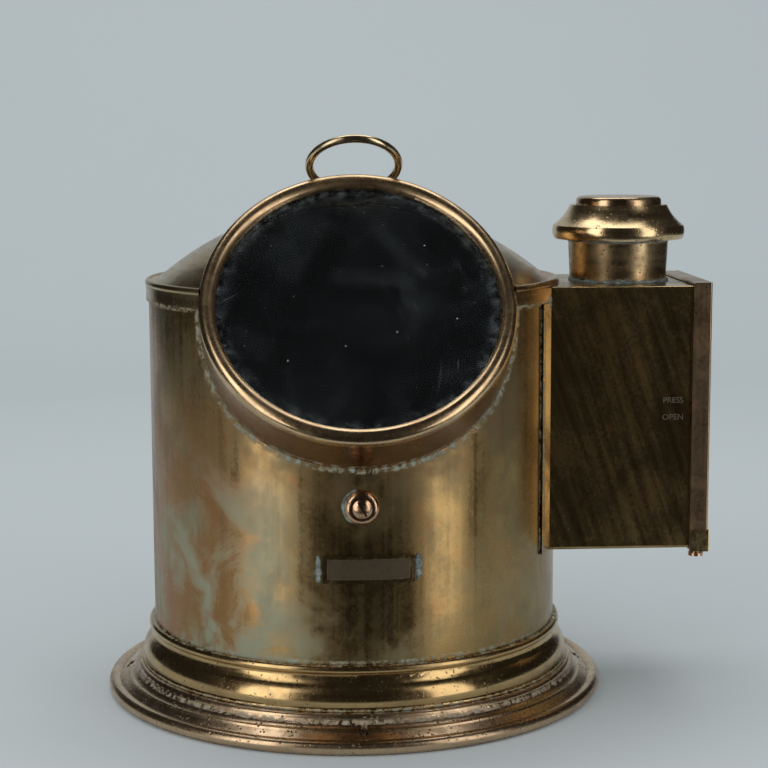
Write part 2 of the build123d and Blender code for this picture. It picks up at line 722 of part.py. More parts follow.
with BuildPart() as card_cap:
    with BuildSketch(Plane.XZ):
        with BuildLine():
            cap_bore = card_pin_r + running_gap
            bore_end = card_pin_top + card_pin_play
            cap_foot = card_z - card_cap_flange
            cap_crown = card_z + card_cap_height
            Polyline((0, bore_end), (cap_bore, bore_end), (cap_bore, cap_foot),
                     (card_cap_flange_r, cap_foot), (card_cap_flange_r, card_z),
                     (card_cap_r, card_z), (card_cap_r, cap_crown - 1),
                     (card_cap_r - 1, cap_crown), (0, cap_crown), (0, bore_end))
        make_face()
    revolve(axis=Axis.Z)
keep(card_cap.part, "card_cap")

with BuildPart() as card_magnets:
    with BuildSketch(Plane.XY.offset(card_z)):
        with GridLocations(2 * magnet_offset, 0, 2, 1):
            Rectangle(magnet_width, magnet_length)
    extrude(amount=-magnet_height)
keep(card_magnets.part, "card_magnets")

# ---------------------------------------------------------------- lamp box
box_height = box_top - box_bottom
box_middle_z = (box_top + box_bottom) / 2
box_left = drum_r * 0.8
with BuildPart() as lamp_box:
    with BuildSketch(Plane.YZ.offset(box_left)):
        with Locations((0, box_middle_z)):
            RectangleRounded(2 * box_half, box_height, box_fold_r)
    extrude(amount=box_right - box_left)
    with BuildSketch(Plane.YZ.offset(box_left)):
        with Locations((0, box_middle_z)):
            Rectangle(2 * box_half - 2 * thin_sheet, box_height - 2 * thin_sheet)
    extrude(amount=box_right - box_left, mode=Mode.SUBTRACT)
    # inward lips at the door opening
    with BuildSketch(Plane.YZ.offset(box_right - thin_sheet)):
        with Locations((0, box_middle_z)):
            Rectangle(2 * box_half - thin_sheet, box_height - thin_sheet)
            Rectangle(2 * (box_half - box_lip), box_height - 2 * thin_sheet, mode=Mode.SUBTRACT)
    extrude(amount=thin_sheet)
    # strips folded along the drum for soldering
    with BuildSketch(Plane.XY.offset(box_bottom)):
        Circle(drum_r + thin_sheet)
        Circle(drum_r, mode=Mode.SUBTRACT)
        strip_middle = strip_x + strip_width / 2
        with Locations((strip_middle, box_half + strip_reach / 2),
                       (strip_middle, -box_half - strip_reach / 2)):
            Rectangle(strip_width, strip_reach, mode=Mode.INTERSECT)
    extrude(amount=band_bottom - box_bottom - free_gap)
    # flue hole and slit for the catch
    with BuildSketch(Plane.XY.offset(box_top)):
        with Locations((chimney_x, 0)):
            Circle(neck_bottom_r - 2 * thin_sheet)
    extrude(amount=-3 * thin_sheet, mode=Mode.SUBTRACT)
    slit_end = catch_nib_x + catch_nib_width / 2 + free_gap
    with BuildSketch(Plane.XZ.offset(box_half)):
        with Locations(((catch_slit_x + slit_end) / 2, catch_z)):
            Rectangle(slit_end - catch_slit_x, catch_slit_height)
    extrude(amount=-2 * thin_sheet, mode=Mode.SUBTRACT)
    add(outer_form.part, mode=Mode.SUBTRACT)
keep(lamp_box.part, "lamp_box")

# ---------------------------------------------------------------- light window between box and drum
light_height = light_top - light_bottom
light_middle_z = (light_top + light_bottom) / 2
glass_half = light_half_width + light_overlap
with BuildPart() as light_frame:
    with BuildSketch(Plane.YZ.offset(frame_x)):
        with Locations((0, box_middle_z)):
            Rectangle(2 * (box_half - thin_sheet - solder_gap),
                      box_height - 2 * thin_sheet - 2 * solder_gap)
        with Locations((0, light_middle_z)):
            Rectangle(2 * light_half_width, light_height, mode=Mode.SUBTRACT)
    extrude(amount=thin_sheet)
    # two side channels and a sill that hold the pane
    channel_depth = light_glass_thickness + 2 * solder_gap
    for side in (1, -1):
        with BuildSketch(Plane.XY.offset(light_bottom - light_overlap - thin_sheet)):
            with Locations((frame_x + thin_sheet, side * (glass_half + solder_gap))):
                Rectangle(channel_depth + thin_sheet, thin_sheet,
                          align=(Align.MIN, Align.MIN if side > 0 else Align.MAX))
            with Locations((frame_x + thin_sheet + channel_depth, side * (glass_half + thin_sheet))):
                Rectangle(thin_sheet, 3 * thin_sheet,
                          align=(Align.MIN, Align.MAX if side > 0 else Align.MIN))
        extrude(amount=light_height + 2 * light_overlap + thin_sheet)
    with BuildSketch(Plane.XY.offset(light_bottom - light_overlap - thin_sheet)):
        with Locations((frame_x + thin_sheet, 0)):
            Rectangle(channel_depth + thin_sheet, 2 * glass_half, align=(Align.MIN, Align.CENTER))
    extrude(amount=thin_sheet)
keep(light_frame.part, "light_frame")

with BuildPart() as light_glass:
    with BuildSketch(Plane.YZ.offset(frame_x + thin_sheet + solder_gap)):
        with Locations((0, light_middle_z)):
            Rectangle(2 * glass_half, light_height + 2 * light_overlap)
    extrude(amount=light_glass_thickness)
keep(light_glass.part, "light_glass")

# ---------------------------------------------------------------- chimney
with BuildPart() as chimney_neck:
    with BuildSketch(chimney_section):
        with BuildLine():
            Polyline((neck_bottom_r - thin_sheet, box_top), (neck_bottom_r, box_top),
                     (neck_top_r, cap_bottom), (neck_top_r, neck_top),
                     (neck_top_r - thin_sheet, neck_top), (neck_top_r - thin_sheet, cap_bottom),
                     (neck_bottom_r - thin_sheet, box_top))
        make_face()
    revolve(axis=chimney_axis)
keep(chimney_neck.part, "chimney_neck")

with BuildPart() as chimney_cap:
    with BuildSketch(chimney_section):
        with BuildLine():
            mouth_r = cap_rim_r - cap_tuck
            roll_r = cap_rim_r - cap_roll
            Line((mouth_r - thin_sheet, cap_bottom), (mouth_r, cap_bottom))
            ThreePointArc((mouth_r, cap_bottom), (cap_rim_r, cap_bottom + 3.2),
                          (roll_r, cap_rim_top))
            ThreePointArc((roll_r, cap_rim_top), (cap_top_r + 2.4, cap_rim_top + 4.2),
                          (cap_top_r, cap_top))
            Polyline((cap_top_r, cap_top), (0, cap_top), (0, cap_top - thin_sheet),
                     (cap_top_r - thin_sheet, cap_top - thin_sheet))
            ThreePointArc((cap_top_r - thin_sheet, cap_top - thin_sheet),
                          (cap_top_r + 1.6, cap_rim_top + 3.4),
                          (roll_r - thin_sheet, cap_rim_top - thin_sheet))
            Line((roll_r - thin_sheet, cap_rim_top - thin_sheet),
                 (mouth_r - thin_sheet, cap_bottom))
        make_face()
    revolve(axis=chimney_axis)
keep(chimney_cap.part, "chimney_cap")

with BuildPart() as cap_button:
    with BuildSketch(chimney_section):
        with BuildLine():
            Polyline((0, cap_top), (button_r, cap_top), (button_r, cap_top + button_side))
            TangentArc((button_r, cap_top + button_side),
                       (button_r - button_round, button_top - 0.3), tangent=(0, 1))
            Polyline((button_r - button_round, button_top - 0.3), (0, button_top), (0, cap_top))
        make_face()
    revolve(axis=chimney_axis)
keep(cap_button.part, "cap_button")

vent_outer_r = cap_rim_r - cap_tuck - thin_sheet - solder_gap
vent_inner_r = neck_top_r + solder_gap
with BuildPart() as vent_ring:
    with BuildSketch(Plane.XY.offset(cap_bottom)):
        with Locations((chimney_x, 0)):
            Circle(vent_outer_r)
            Circle(vent_inner_r, mode=Mode.SUBTRACT)
            with PolarLocations((vent_outer_r + vent_inner_r) / 2, vent_hole_count):
                Circle(vent_hole_r, mode=Mode.SUBTRACT)
    extrude(amount=thin_sheet)
keep(vent_ring.part, "vent_ring")

# ---------------------------------------------------------------- oil lamp
with BuildPart() as oil_font:
    with BuildSketch(Plane.XY.offset(font_floor)):
        with Locations((font_x, 0)):
            RectangleRounded(font_length, font_width, font_corner_r)
    extrude(amount=font_height)
    with BuildSketch(Plane.XY.offset(font_floor + font_wall)):
        with Locations((font_x, 0)):
            RectangleRounded(font_length - 2 * font_wall, font_width - 2 * font_wall,
                             font_corner_r - font_wall)
    extrude(amount=font_height - 2 * font_wall, mode=Mode.SUBTRACT)
    with BuildSketch(Plane.XY.offset(font_top)):
        with Locations((chimney_x, 0)):
            Circle(burner_neck_r)
        with Locations((filler_x, filler_y)):
            Circle(filler_r - thin_sheet)
    extrude(amount=-2 * font_wall, mode=Mode.SUBTRACT)
keep(oil_font.part, "oil_font")

with BuildPart() as lamp_guides:
    with BuildSketch(Plane.XY.offset(font_floor)):
        with GridLocations(0, font_width + 2 * free_gap + thin_sheet, 1, 2):
            with Locations((font_x, 0)):
                Rectangle(font_length - 2, thin_sheet)
    extrude(amount=guide_height)
keep(lamp_guides.part, "lamp_guides")

tube_length = wick_width + 2 * (wick_tube_gap + wick_tube_wall)
tube_depth = wick_thickness + 2 * (wick_tube_gap + wick_tube_wall)
with BuildPart() as burner:
    gallery_top = font_top + burner_height
    with BuildSketch(lamp_section):
        with BuildLine():
            plug_r = burner_neck_r - solder_gap
            plug_bottom = font_top - burner_flange_height
            flange_high = font_top + burner_flange_height
            gallery_inner_r = burner_r - font_wall
            shoulder_r = burner_r - gallery_round
            shoulder_z = gallery_top - gallery_round
            Polyline((0, plug_bottom), (plug_r, plug_bottom), (plug_r, font_top),
                     (burner_r + burner_flange, font_top), (burner_r + burner_flange, flange_high),
                     (burner_r, flange_high), (burner_r, shoulder_z))
            ThreePointArc((burner_r, shoulder_z),
                          (burner_r - 0.3 * gallery_round, gallery_top - 0.3 * gallery_round),
                          (shoulder_r, gallery_top))
            Polyline((shoulder_r, gallery_top), (0, gallery_top), (0, gallery_top - font_wall),
                     (shoulder_r, gallery_top - font_wall), (gallery_inner_r, shoulder_z),
                     (gallery_inner_r, flange_high), (0, flange_high), (0, plug_bottom))
        make_face()
    revolve(axis=lamp_axis)
    with BuildSketch(Plane.XY.offset(font_top - overrun)):
        with Locations((chimney_x, 0)):
            Rectangle(tube_length + 2 * solder_gap, tube_depth + 2 * solder_gap)
    extrude(amount=burner_height + 2 * overrun, mode=Mode.SUBTRACT)
    with BuildSketch(Plane.YZ.offset(chimney_x - 2 * burner_r)):
        with Locations((spindle_y, spindle_z)):
            Circle(spindle_r + running_gap)
    extrude(amount=4 * burner_r, mode=Mode.SUBTRACT)
    # air holes round the foot of the gallery, clear of the spindle
    for angle in (30, 60, 90, 120, 150):
        hole_plane = Plane(origin=(chimney_x, 0, font_top + air_hole_height), x_dir=(0, 0, 1),
                           z_dir=(cos(radians(angle)), sin(radians(angle)), 0))
        with BuildSketch(hole_plane):
            Circle(air_hole_r)
        extrude(amount=burner_r + overrun, mode=Mode.SUBTRACT)
keep(burner.part, "burner")

with BuildPart() as wick_tube:
    with BuildSketch(Plane.XY.offset(wick_tube_bottom)):
        with Locations((chimney_x, 0)):
            Rectangle(tube_length, tube_depth)
            Rectangle(wick_width + 2 * wick_tube_gap, wick_thickness + 2 * wick_tube_gap,
                      mode=Mode.SUBTRACT)
    extrude(amount=wick_tube_top - wick_tube_bottom)
    # window where the wheel reaches the wick
    with BuildSketch(Plane.XZ):
        with Locations((chimney_x, spindle_z)):
            Rectangle(wheel_width + 2 * free_gap, 2 * wheel_r + 2)
    extrude(amount=tube_depth, mode=Mode.SUBTRACT)
keep(wick_tube.part, "wick_tube")

with BuildPart() as wick:
    with BuildSketch(Plane.XY.offset(wick_bottom)):
        with Locations((chimney_x, 0)):
            Rectangle(wick_width, wick_thickness)
    extrude(amount=wick_top - wick_bottom)
keep(wick.part, "wick")

with BuildPart() as wick_spindle:
    with BuildSketch(Plane.YZ.offset(chimney_x - burner_r - 1)):
        with Locations((spindle_y, spindle_z)):
            Circle(spindle_r)
    extrude(amount=knob_x - chimney_x + burner_r + 1)
keep(wick_spindle.part, "wick_spindle")

with BuildPart() as wick_wheel:
    with BuildSketch(Plane.YZ.offset(chimney_x - wheel_width / 2)):
        with Locations((spindle_y, spindle_z)):
            Circle(wheel_r)
            Circle(spindle_r, mode=Mode.SUBTRACT)
            with PolarLocations(wheel_r, wheel_teeth, start_angle=180 / wheel_teeth):
                Circle(wheel_groove_r, mode=Mode.SUBTRACT)
    extrude(amount=wheel_width)
keep(wick_wheel.part, "wick_wheel")

with BuildPart() as wick_knob:
    with BuildSketch(Plane.YZ.offset(knob_x)):
        with Locations((spindle_y, spindle_z)):
            Circle(knob_r)
            with PolarLocations(knob_r, knob_grooves):
                Circle(knob_groove_r, mode=Mode.SUBTRACT)
    extrude(amount=knob_width)
keep(wick_knob.part, "wick_knob")

with BuildPart() as lamp_reflector:
    reflector_angle = radians(reflector_half_angle)
    with BuildSketch(Plane.XY.offset(font_top)):
        with Locations((chimney_x, 0)):
            Circle(reflector_r + font_wall)
            Circle(reflector_r, mode=Mode.SUBTRACT)
        with Locations((chimney_x + reflector_r * cos(reflector_angle), 0)):
            Rectangle(reflector_r, 3 * reflector_r, align=(Align.MIN, Align.CENTER),
                      mode=Mode.INTERSECT)
    extrude(amount=reflector_top - font_top)
    with BuildSketch(Plane.YZ.offset(chimney_x)):
        with Locations((spindle_y, font_top)):
            Rectangle(5 * spindle_r, 2 * (spindle_z - font_top + 2.5 * spindle_r))
    extrude(amount=2 * reflector_r, mode=Mode.SUBTRACT)
keep(lamp_reflector.part, "lamp_reflector")

with BuildPart() as filler_neck:
    with BuildSketch(Plane.XY.offset(font_top)):
        with Locations((filler_x, filler_y)):
            Circle(filler_r)
            Circle(filler_r - thin_sheet, mode=Mode.SUBTRACT)
    extrude(amount=filler_height)
keep(filler_neck.part, "filler_neck")

with BuildPart() as filler_cap:
    cap_outer_r = filler_r + running_gap + filler_cap_wall
    with BuildSketch(Plane.XY.offset(font_top + filler_cap_lift)):
        with Locations((filler_x, filler_y)):
            Circle(cap_outer_r)
            with PolarLocations(cap_outer_r, filler_cap_grooves):
                Circle(filler_cap_groove_r, mode=Mode.SUBTRACT)
    extrude(amount=filler_height + filler_cap_wall)
    with BuildSketch(Plane.XY.offset(font_top + filler_cap_lift)):
        with Locations((filler_x, filler_y)):
            Circle(filler_r + running_gap)
    extrude(amount=filler_height - filler_cap_lift + free_gap, mode=Mode.SUBTRACT)
keep(filler_cap.part, "filler_cap")

loop_x = font_x + font_length / 2
with BuildPart() as lamp_loop:
    with BuildLine() as loop_path:
        bend_x = loop_x + loop_straight
        Line((loop_x, -loop_half, loop_z), (bend_x, -loop_half, loop_z))
        ThreePointArc((bend_x, -loop_half, loop_z), (loop_x + loop_reach, 0, loop_z),
                      (bend_x, loop_half, loop_z))
        Line((bend_x, loop_half, loop_z), (loop_x, loop_half, loop_z))
    with BuildSketch(Plane(origin=(loop_x, -loop_half, loop_z), z_dir=(1, 0, 0))):
        Circle(loop_wire_r)
    sweep(path=loop_path.line, transition=Transition.ROUND)
keep(lamp_loop.part, "lamp_loop")

# ---------------------------------------------------------------- door hinge
hinge_start = hinge_middle_z - knuckle_length * knuckle_count / 2
box_knuckles = range(0, knuckle_count, 2)
door_knuckles = range(1, knuckle_count, 2)


def knuckle_floor(place):
    """Lowest point of a knuckle, counted from the bottom."""
    return hinge_start + place * knuckle_length + free_gap / 2


with BuildPart() as box_hinge:
    with BuildSketch(Plane.XY.offset(hinge_start)):
        with Locations((hinge_x - 1.6, box_half)):
            Rectangle(hinge_leaf_width, thin_sheet, align=(Align.MAX, Align.MIN))
    extrude(amount=knuckle_length * knuckle_count)
    for place in box_knuckles:
        with BuildSketch(Plane.XY.offset(knuckle_floor(place))):
            with Locations((hinge_x, box_half)):
                Rectangle(4, thin_sheet, align=(Align.MAX, Align.MIN))
            with Locations((hinge_x, hinge_y)):
                Circle(knuckle_r)
                Circle(hinge_pin_r + solder_gap, mode=Mode.SUBTRACT)
        extrude(amount=knuckle_length - free_gap)
keep(box_hinge.part, "box_hinge")

door_outside = box_right + free_gap + thin_sheet
with BuildPart() as door_hinge:
    with BuildSketch(Plane.XY.offset(hinge_start)):
        with Locations((door_outside, door_back_edge)):
            Rectangle(thin_sheet, hinge_leaf_width, align=(Align.MIN, Align.MAX))
    extrude(amount=knuckle_length * knuckle_count)
    for place in door_knuckles:
        with BuildSketch(Plane.XY.offset(knuckle_floor(place))):
            with Locations((hinge_x, hinge_y)):
                Circle(knuckle_r)
            with Locations((door_outside, door_back_edge - 1)):
                Rectangle(thin_sheet, hinge_y - door_back_edge + 1, align=(Align.MIN, Align.MIN))
            with Locations((hinge_x, hinge_y)):
                Circle(hinge_pin_r + running_gap, mode=Mode.SUBTRACT)
        extrude(amount=knuckle_length - free_gap)
keep(door_hinge.part, "door_hinge")

with BuildPart() as hinge_pin:
    hinge_length = knuckle_length * knuckle_count
    with BuildSketch(Plane.XY.offset(hinge_start - pin_head)):
        with Locations((hinge_x, hinge_y)):
            Circle(hinge_pin_r)
    extrude(amount=hinge_length + 2 * pin_head)
    for head_z in (hinge_start - pin_head, hinge_start + hinge_length):
        with BuildSketch(Plane.XY.offset(head_z)):
            with Locations((hinge_x, hinge_y)):
                Circle(pin_head_r)
        extrude(amount=pin_head)
keep(hinge_pin.part, "hinge_pin")

# ---------------------------------------------------------------- door
door_inside = box_right + free_gap
door_front = -box_half - free_gap - thin_sheet
door_low = box_bottom - free_gap - thin_sheet
door_high = box_top + free_gap + thin_sheet
flange_x = door_outside - door_overlap - thin_sheet
flange_back = door_back_edge - 2.5
with BuildPart() as door_panel:
    with BuildSketch(Plane.YZ.offset(door_inside)):
        with Locations((door_front, door_low)):
            Rectangle(door_back_edge - door_front, door_high - door_low,
                      align=(Align.MIN, Align.MIN))
    extrude(amount=thin_sheet)
    with BuildSketch(Plane.XZ.offset(-door_front)):
        with Locations((flange_x, door_low)):
            Rectangle(door_outside - flange_x, door_high - door_low, align=(Align.MIN, Align.MIN))
    extrude(amount=-thin_sheet)
    for flange_z in (door_low, door_high - thin_sheet):
        with BuildSketch(Plane.XY.offset(flange_z)):
            with Locations((flange_x, door_front)):
                Rectangle(door_outside - flange_x, flange_back - door_front,
                          align=(Align.MIN, Align.MIN))
        extrude(amount=thin_sheet)
    outer_corners = (door_panel.edges().filter_by(Axis.Y)
                     .filter_by_position(Axis.X, flange_x - 0.01, flange_x + 0.01))
    fillet(outer_corners.group_by(Axis.Z)[-1] + outer_corners.group_by(Axis.Z)[0], 0.9 * thin_sheet)
    front_fold = (door_panel.edges().filter_by(Axis.Z)
                  .filter_by_position(Axis.X, door_outside - 0.01, door_outside + 0.01)
                  .sort_by(Axis.Y)[0])
    fillet(front_fold, 0.8 * thin_sheet)
keep(door_panel.part, "door_panel")

with BuildPart() as door_corner_tab:
    tab_start = flange_x - 0.2
    tab_front = door_front - tab_sheet
    tab_side = door_outside + tab_sheet
    tab_end = door_front + tab_return
    with BuildSketch(Plane.XY.offset(door_low + 0.1)):
        with BuildLine():
            Polyline((tab_start, door_front), (tab_start, tab_front), (tab_side, tab_front),
                     (tab_side, tab_end), (door_outside, tab_end), (door_outside, door_front),
                     (tab_start, door_front))
        make_face()
    extrude(amount=tab_height)
    tab_edge = (door_corner_tab.edges().filter_by(Axis.Z).sort_by(Axis.X)[-2:].sort_by(Axis.Y)[0])
    fillet(tab_edge, 0.4 * thin_sheet)
keep(door_corner_tab.part, "door_corner_tab")

with BuildPart() as door_stud:
    with BuildSketch(Plane.XY.offset(door_low)):
        with Locations((flange_x + stud_x, door_front + stud_y)):
            Circle(stud_neck_r)
    extrude(amount=-stud_neck)
    with BuildSketch(Plane.XY.offset(door_low - stud_neck)):
        with Locations((flange_x + stud_x, door_front + stud_y)):
            Circle(stud_head_r)
    extrude(amount=-stud_head)
keep(door_stud.part, "door_stud")

# ---------------------------------------------------------------- spring catch
leaf_back = -box_half + thin_sheet + catch_back_gap
leaf_height = catch_slit_height - 2 * free_gap
rivet_pitch = leaf_height / 2
with BuildPart() as catch_leaf:
    leaf_end = catch_nib_x + catch_nib_width / 2 + catch_tail
    with BuildSketch(Plane.XZ.offset(-leaf_back)):
        with Locations(((catch_root_x + leaf_end) / 2, catch_z)):
            Rectangle(leaf_end - catch_root_x, leaf_height)
        with Locations((catch_root_x + rivet_inset, catch_z)):
            with GridLocations(0, rivet_pitch, 1, 2):
                Circle(rivet_r + running_gap, mode=Mode.SUBTRACT)
    extrude(amount=-catch_leaf_thickness)
    with BuildSketch(Plane.XZ.offset(-leaf_back)):
        with Locations((catch_nib_x, catch_z)):
            Rectangle(catch_nib_width, leaf_height)
    extrude(amount=box_half + free_gap - catch_back_gap + leaf_back)
keep(catch_leaf.part, "catch_leaf")

with BuildPart() as catch_rivets:
    head_y = leaf_back + catch_leaf_thickness + catch_travel + catch_back_gap
    with BuildSketch(Plane.XZ.offset(box_half - thin_sheet)):
        with Locations((catch_root_x + rivet_inset, catch_z)):
            with GridLocations(0, rivet_pitch, 1, 2):
                Circle(rivet_r)
    extrude(amount=-(head_y + box_half - thin_sheet))
    with BuildSketch(Plane.XZ.offset(-head_y)):
        with Locations((catch_root_x + rivet_inset, catch_z)):
            with GridLocations(0, rivet_pitch, 1, 2):
                Circle(rivet_head_r)
    extrude(amount=-rivet_head)
keep(catch_rivets.part, "catch_rivets")

# ---------------------------------------------------------------- files
os.makedirs("parts", exist_ok=True)
for piece in finished:
    export_step(piece, "parts/" + piece.label + ".step")
print("wrote", len(finished), "pieces")
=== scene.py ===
import math
import random

import bmesh
import bpy
from mathutils import Matrix, Vector


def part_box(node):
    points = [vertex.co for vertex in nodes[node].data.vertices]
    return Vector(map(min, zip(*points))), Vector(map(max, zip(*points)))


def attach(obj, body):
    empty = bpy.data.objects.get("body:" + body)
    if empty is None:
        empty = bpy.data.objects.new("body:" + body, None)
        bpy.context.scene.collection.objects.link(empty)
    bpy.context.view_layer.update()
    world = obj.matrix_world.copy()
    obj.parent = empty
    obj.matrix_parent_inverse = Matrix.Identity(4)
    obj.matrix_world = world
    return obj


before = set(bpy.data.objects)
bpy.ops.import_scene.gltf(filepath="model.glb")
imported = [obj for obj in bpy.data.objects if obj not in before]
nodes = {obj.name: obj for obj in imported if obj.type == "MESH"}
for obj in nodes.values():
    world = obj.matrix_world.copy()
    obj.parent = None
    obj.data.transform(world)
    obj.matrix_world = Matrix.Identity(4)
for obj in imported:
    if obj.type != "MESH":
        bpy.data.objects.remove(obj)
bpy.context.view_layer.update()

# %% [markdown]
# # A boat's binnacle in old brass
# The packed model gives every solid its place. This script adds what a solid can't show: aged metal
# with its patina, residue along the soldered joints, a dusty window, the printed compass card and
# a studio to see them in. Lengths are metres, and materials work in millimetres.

random.seed(7)
MM = 0.001
HOOD_LEAN = 38                          # degrees that the window's normal stands above the horizontal
lean = math.radians(HOOD_LEAN)
hood_centre = Vector((0, -60.3, 162.3))
hood_normal = Vector((0, -math.cos(lean), math.sin(lean)))
hood_up = Vector((0, math.sin(lean), math.cos(lean)))
drum_radius = 82.5
hood_outer = drum_radius - 22.5
chimney_x = drum_radius + 26.5
screw_height = 89.4                     # the gimbal screws' height


def corners(node):
    """The lowest and the highest corner of a CAD node, in millimetres."""
    return tuple(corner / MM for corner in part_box(node))


box_low, box_high = corners("lamp_box")
dome_low, dome_high = corners("dome")
skirt_low, skirt_high = corners("base_skirt")
print("nodes", len(nodes))

# %% [markdown]
# ## Wiring shader nodes
# A `Wire` is one output in a node tree. Arithmetic on wires adds Math nodes, so a mask reads like
# a formula. `Paint` starts a material and offers the few textures that are used here.


# %% Node helpers
class Wire:
    """One output socket of a material's node tree."""

    def __init__(self, tree, socket):
        self.tree = tree
        self.socket = socket

    def math(self, operation, *others):
        """This wire and the others put through one Math node."""
        node = self.tree.nodes.new("ShaderNodeMath")
        node.operation = operation
        for slot, value in zip(node.inputs, (self, *others)):
            plug(self.tree, value, slot)
        return Wire(self.tree, node.outputs[0])

    def __add__(self, other):
        return self.math("ADD", other)

    def __mul__(self, other):
        return self.math("MULTIPLY", other)

    def __sub__(self, other):
        return self.math("SUBTRACT", other)

    def __rsub__(self, other):
        return (self * -1.0) + other

    __radd__ = __add__
    __rmul__ = __mul__

    def abs(self):
        return self.math("ABSOLUTE")

    def step(self, low, high):
        """0 below low and 1 above high, with a smooth change between. Works with low > high too."""
        node = self.tree.nodes.new("ShaderNodeMapRange")
        node.interpolation_type = "SMOOTHSTEP"
        plug(self.tree, self, node.inputs["Value"])
        flipped = low > high
        node.inputs["From Min"].default_value = min(low, high)
        node.inputs["From Max"].default_value = max(low, high)
        node.inputs["To Min"].default_value = 1.0 if flipped else 0.0
        node.inputs["To Max"].default_value = 0.0 if flipped else 1.0
        return Wire(self.tree, node.outputs["Result"])

    def near(self, place, width):
        """1 at a place and 0 further than width from it."""
        return (self - place).abs().step(width, width * 0.3)


def plug(tree, value, socket):
    """Link a wire to a socket, or set the socket to a constant."""
    if isinstance(value, Wire):
        tree.links.new(value.socket, socket)
    elif isinstance(value, tuple) and len(value) == 3 and socket.type == "RGBA":
        socket.default_value = (*value, 1.0)
    else:
        socket.default_value = value


class Paint:
    """A material under construction, with its coordinates in millimetres."""

    def __init__(self, name):
        self.material = bpy.data.materials.new(name)
        self.material.use_nodes = True
        self.tree = self.material.node_tree
        self.tree.nodes.clear()
        coordinates = self.tree.nodes.new("ShaderNodeTexCoord")
        self.position = self.vector("SCALE", Wire(self.tree, coordinates.outputs["Object"]), 1000.0)
        split = self.tree.nodes.new("ShaderNodeSeparateXYZ")
        plug(self.tree, self.position, split.inputs[0])
        self.x, self.y, self.z = (Wire(self.tree, out) for out in split.outputs)
        self.radius = (self.x * self.x + self.y * self.y).math("SQRT")

    def vector(self, operation, first, second):
        """Two positions put through one Vector Math node; second is a number for SCALE."""
        node = self.tree.nodes.new("ShaderNodeVectorMath")
        node.operation = operation
        plug(self.tree, first, node.inputs[0])
        plug(self.tree, second, node.inputs["Scale" if operation == "SCALE" else 1])
        output = "Value" if operation in ("DOT_PRODUCT", "LENGTH", "DISTANCE") else "Vector"
        return Wire(self.tree, node.outputs[output])

    def join(self, x, y, z):
        """A position made of three numbers."""
        node = self.tree.nodes.new("ShaderNodeCombineXYZ")
        for value, socket in zip((x, y, z), node.inputs):
            plug(self.tree, value, socket)
        return Wire(self.tree, node.outputs[0])

    def stretched(self, x, y, z):
        """The position squeezed along each axis, for streaks."""
        return self.vector("MULTIPLY", self.position, (x, y, z))

    def noise(self, size, detail=4.0, rough=0.55, distortion=0.0, at=None, lift=0.0):
        """Cloudy noise with features about size millimetres across, around 0.5."""
        node = self.tree.nodes.new("ShaderNodeTexNoise")
        place = at or self.position
        if lift:
            place = self.vector("ADD", place, (lift, lift * 0.7, -lift))
        plug(self.tree, place, node.inputs["Vector"])
        node.inputs["Scale"].default_value = 1.0 / size
        node.inputs["Detail"].default_value = detail
        node.inputs["Roughness"].default_value = rough
        node.inputs["Distortion"].default_value = distortion
        return Wire(self.tree, node.outputs["Factor" if "Factor" in node.outputs else "Fac"])

    def cells(self, size):
        """Distance to the nearest of scattered points, which are about size millimetres apart."""
        node = self.tree.nodes.new("ShaderNodeTexVoronoi")
        plug(self.tree, self.position, node.inputs["Vector"])
        node.inputs["Scale"].default_value = 1.0 / size
        return Wire(self.tree, node.outputs["Distance"])

    def mix(self, first, second, share):
        """Colour from first to second."""
        node = self.tree.nodes.new("ShaderNodeMix")
        node.data_type = "RGBA"
        plug(self.tree, share, node.inputs["Factor"])
        plug(self.tree, first, node.inputs[6])
        plug(self.tree, second, node.inputs[7])
        return Wire(self.tree, node.outputs[2])

    def bump(self, height):
        """A surface raised by height, in millimetres."""
        node = self.tree.nodes.new("ShaderNodeBump")
        node.inputs["Distance"].default_value = MM
        node.inputs["Strength"].default_value = 1.0
        plug(self.tree, height, node.inputs["Height"])
        return Wire(self.tree, node.outputs["Normal"])

    def shader(self, **settings):
        """A Principled shader; the names are its sockets with _ for a space."""
        node = self.tree.nodes.new("ShaderNodeBsdfPrincipled")
        for name, value in settings.items():
            plug(self.tree, value, node.inputs[name.replace("_", " ")])
        return Wire(self.tree, node.outputs[0])

    def blend(self, first, second, share):
        """Shader from first to second."""
        node = self.tree.nodes.new("ShaderNodeMixShader")
        plug(self.tree, share, node.inputs[0])
        plug(self.tree, first, node.inputs[1])
        plug(self.tree, second, node.inputs[2])
        return Wire(self.tree, node.outputs[0])

    def finish(self, surface):
        """Put the surface on the material, which is then complete."""
        output = self.tree.nodes.new("ShaderNodeOutputMaterial")
        self.tree.links.new(surface.socket, output.inputs["Surface"])
        return self.material


print("a Paint can", ", ".join(name for name in vars(Paint) if not name.startswith("_")))


# %% [markdown]
# ## Old brass
# Every brass surface is the same idea: a metal whose colour drifts between golden, olive and
# copper red, fine brushing or turning marks in the roughness and the bump, small pits and a pale
# residue where solder flux was left. Each kind below sets how much of each it has.


# %% Brass recipe
def hood_radius(paint):
    """Distance from the hood's axis, and the height along it, in millimetres."""
    offset = paint.vector("SUBTRACT", paint.position, tuple(hood_centre))
    along = paint.vector("DOT_PRODUCT", offset, tuple(hood_normal))
    up = paint.vector("DOT_PRODUCT", offset, tuple(hood_up))
    return (paint.x * paint.x + up * up).math("SQRT"), along, up


def around(paint):
    """Coordinates unrolled round the vertical axis: arc length at 80 mm out, radius, height."""
    angle = paint.x.math("ARCTAN2", paint.y * -1.0)
    return paint.join(angle * 80.0, paint.radius, paint.z)


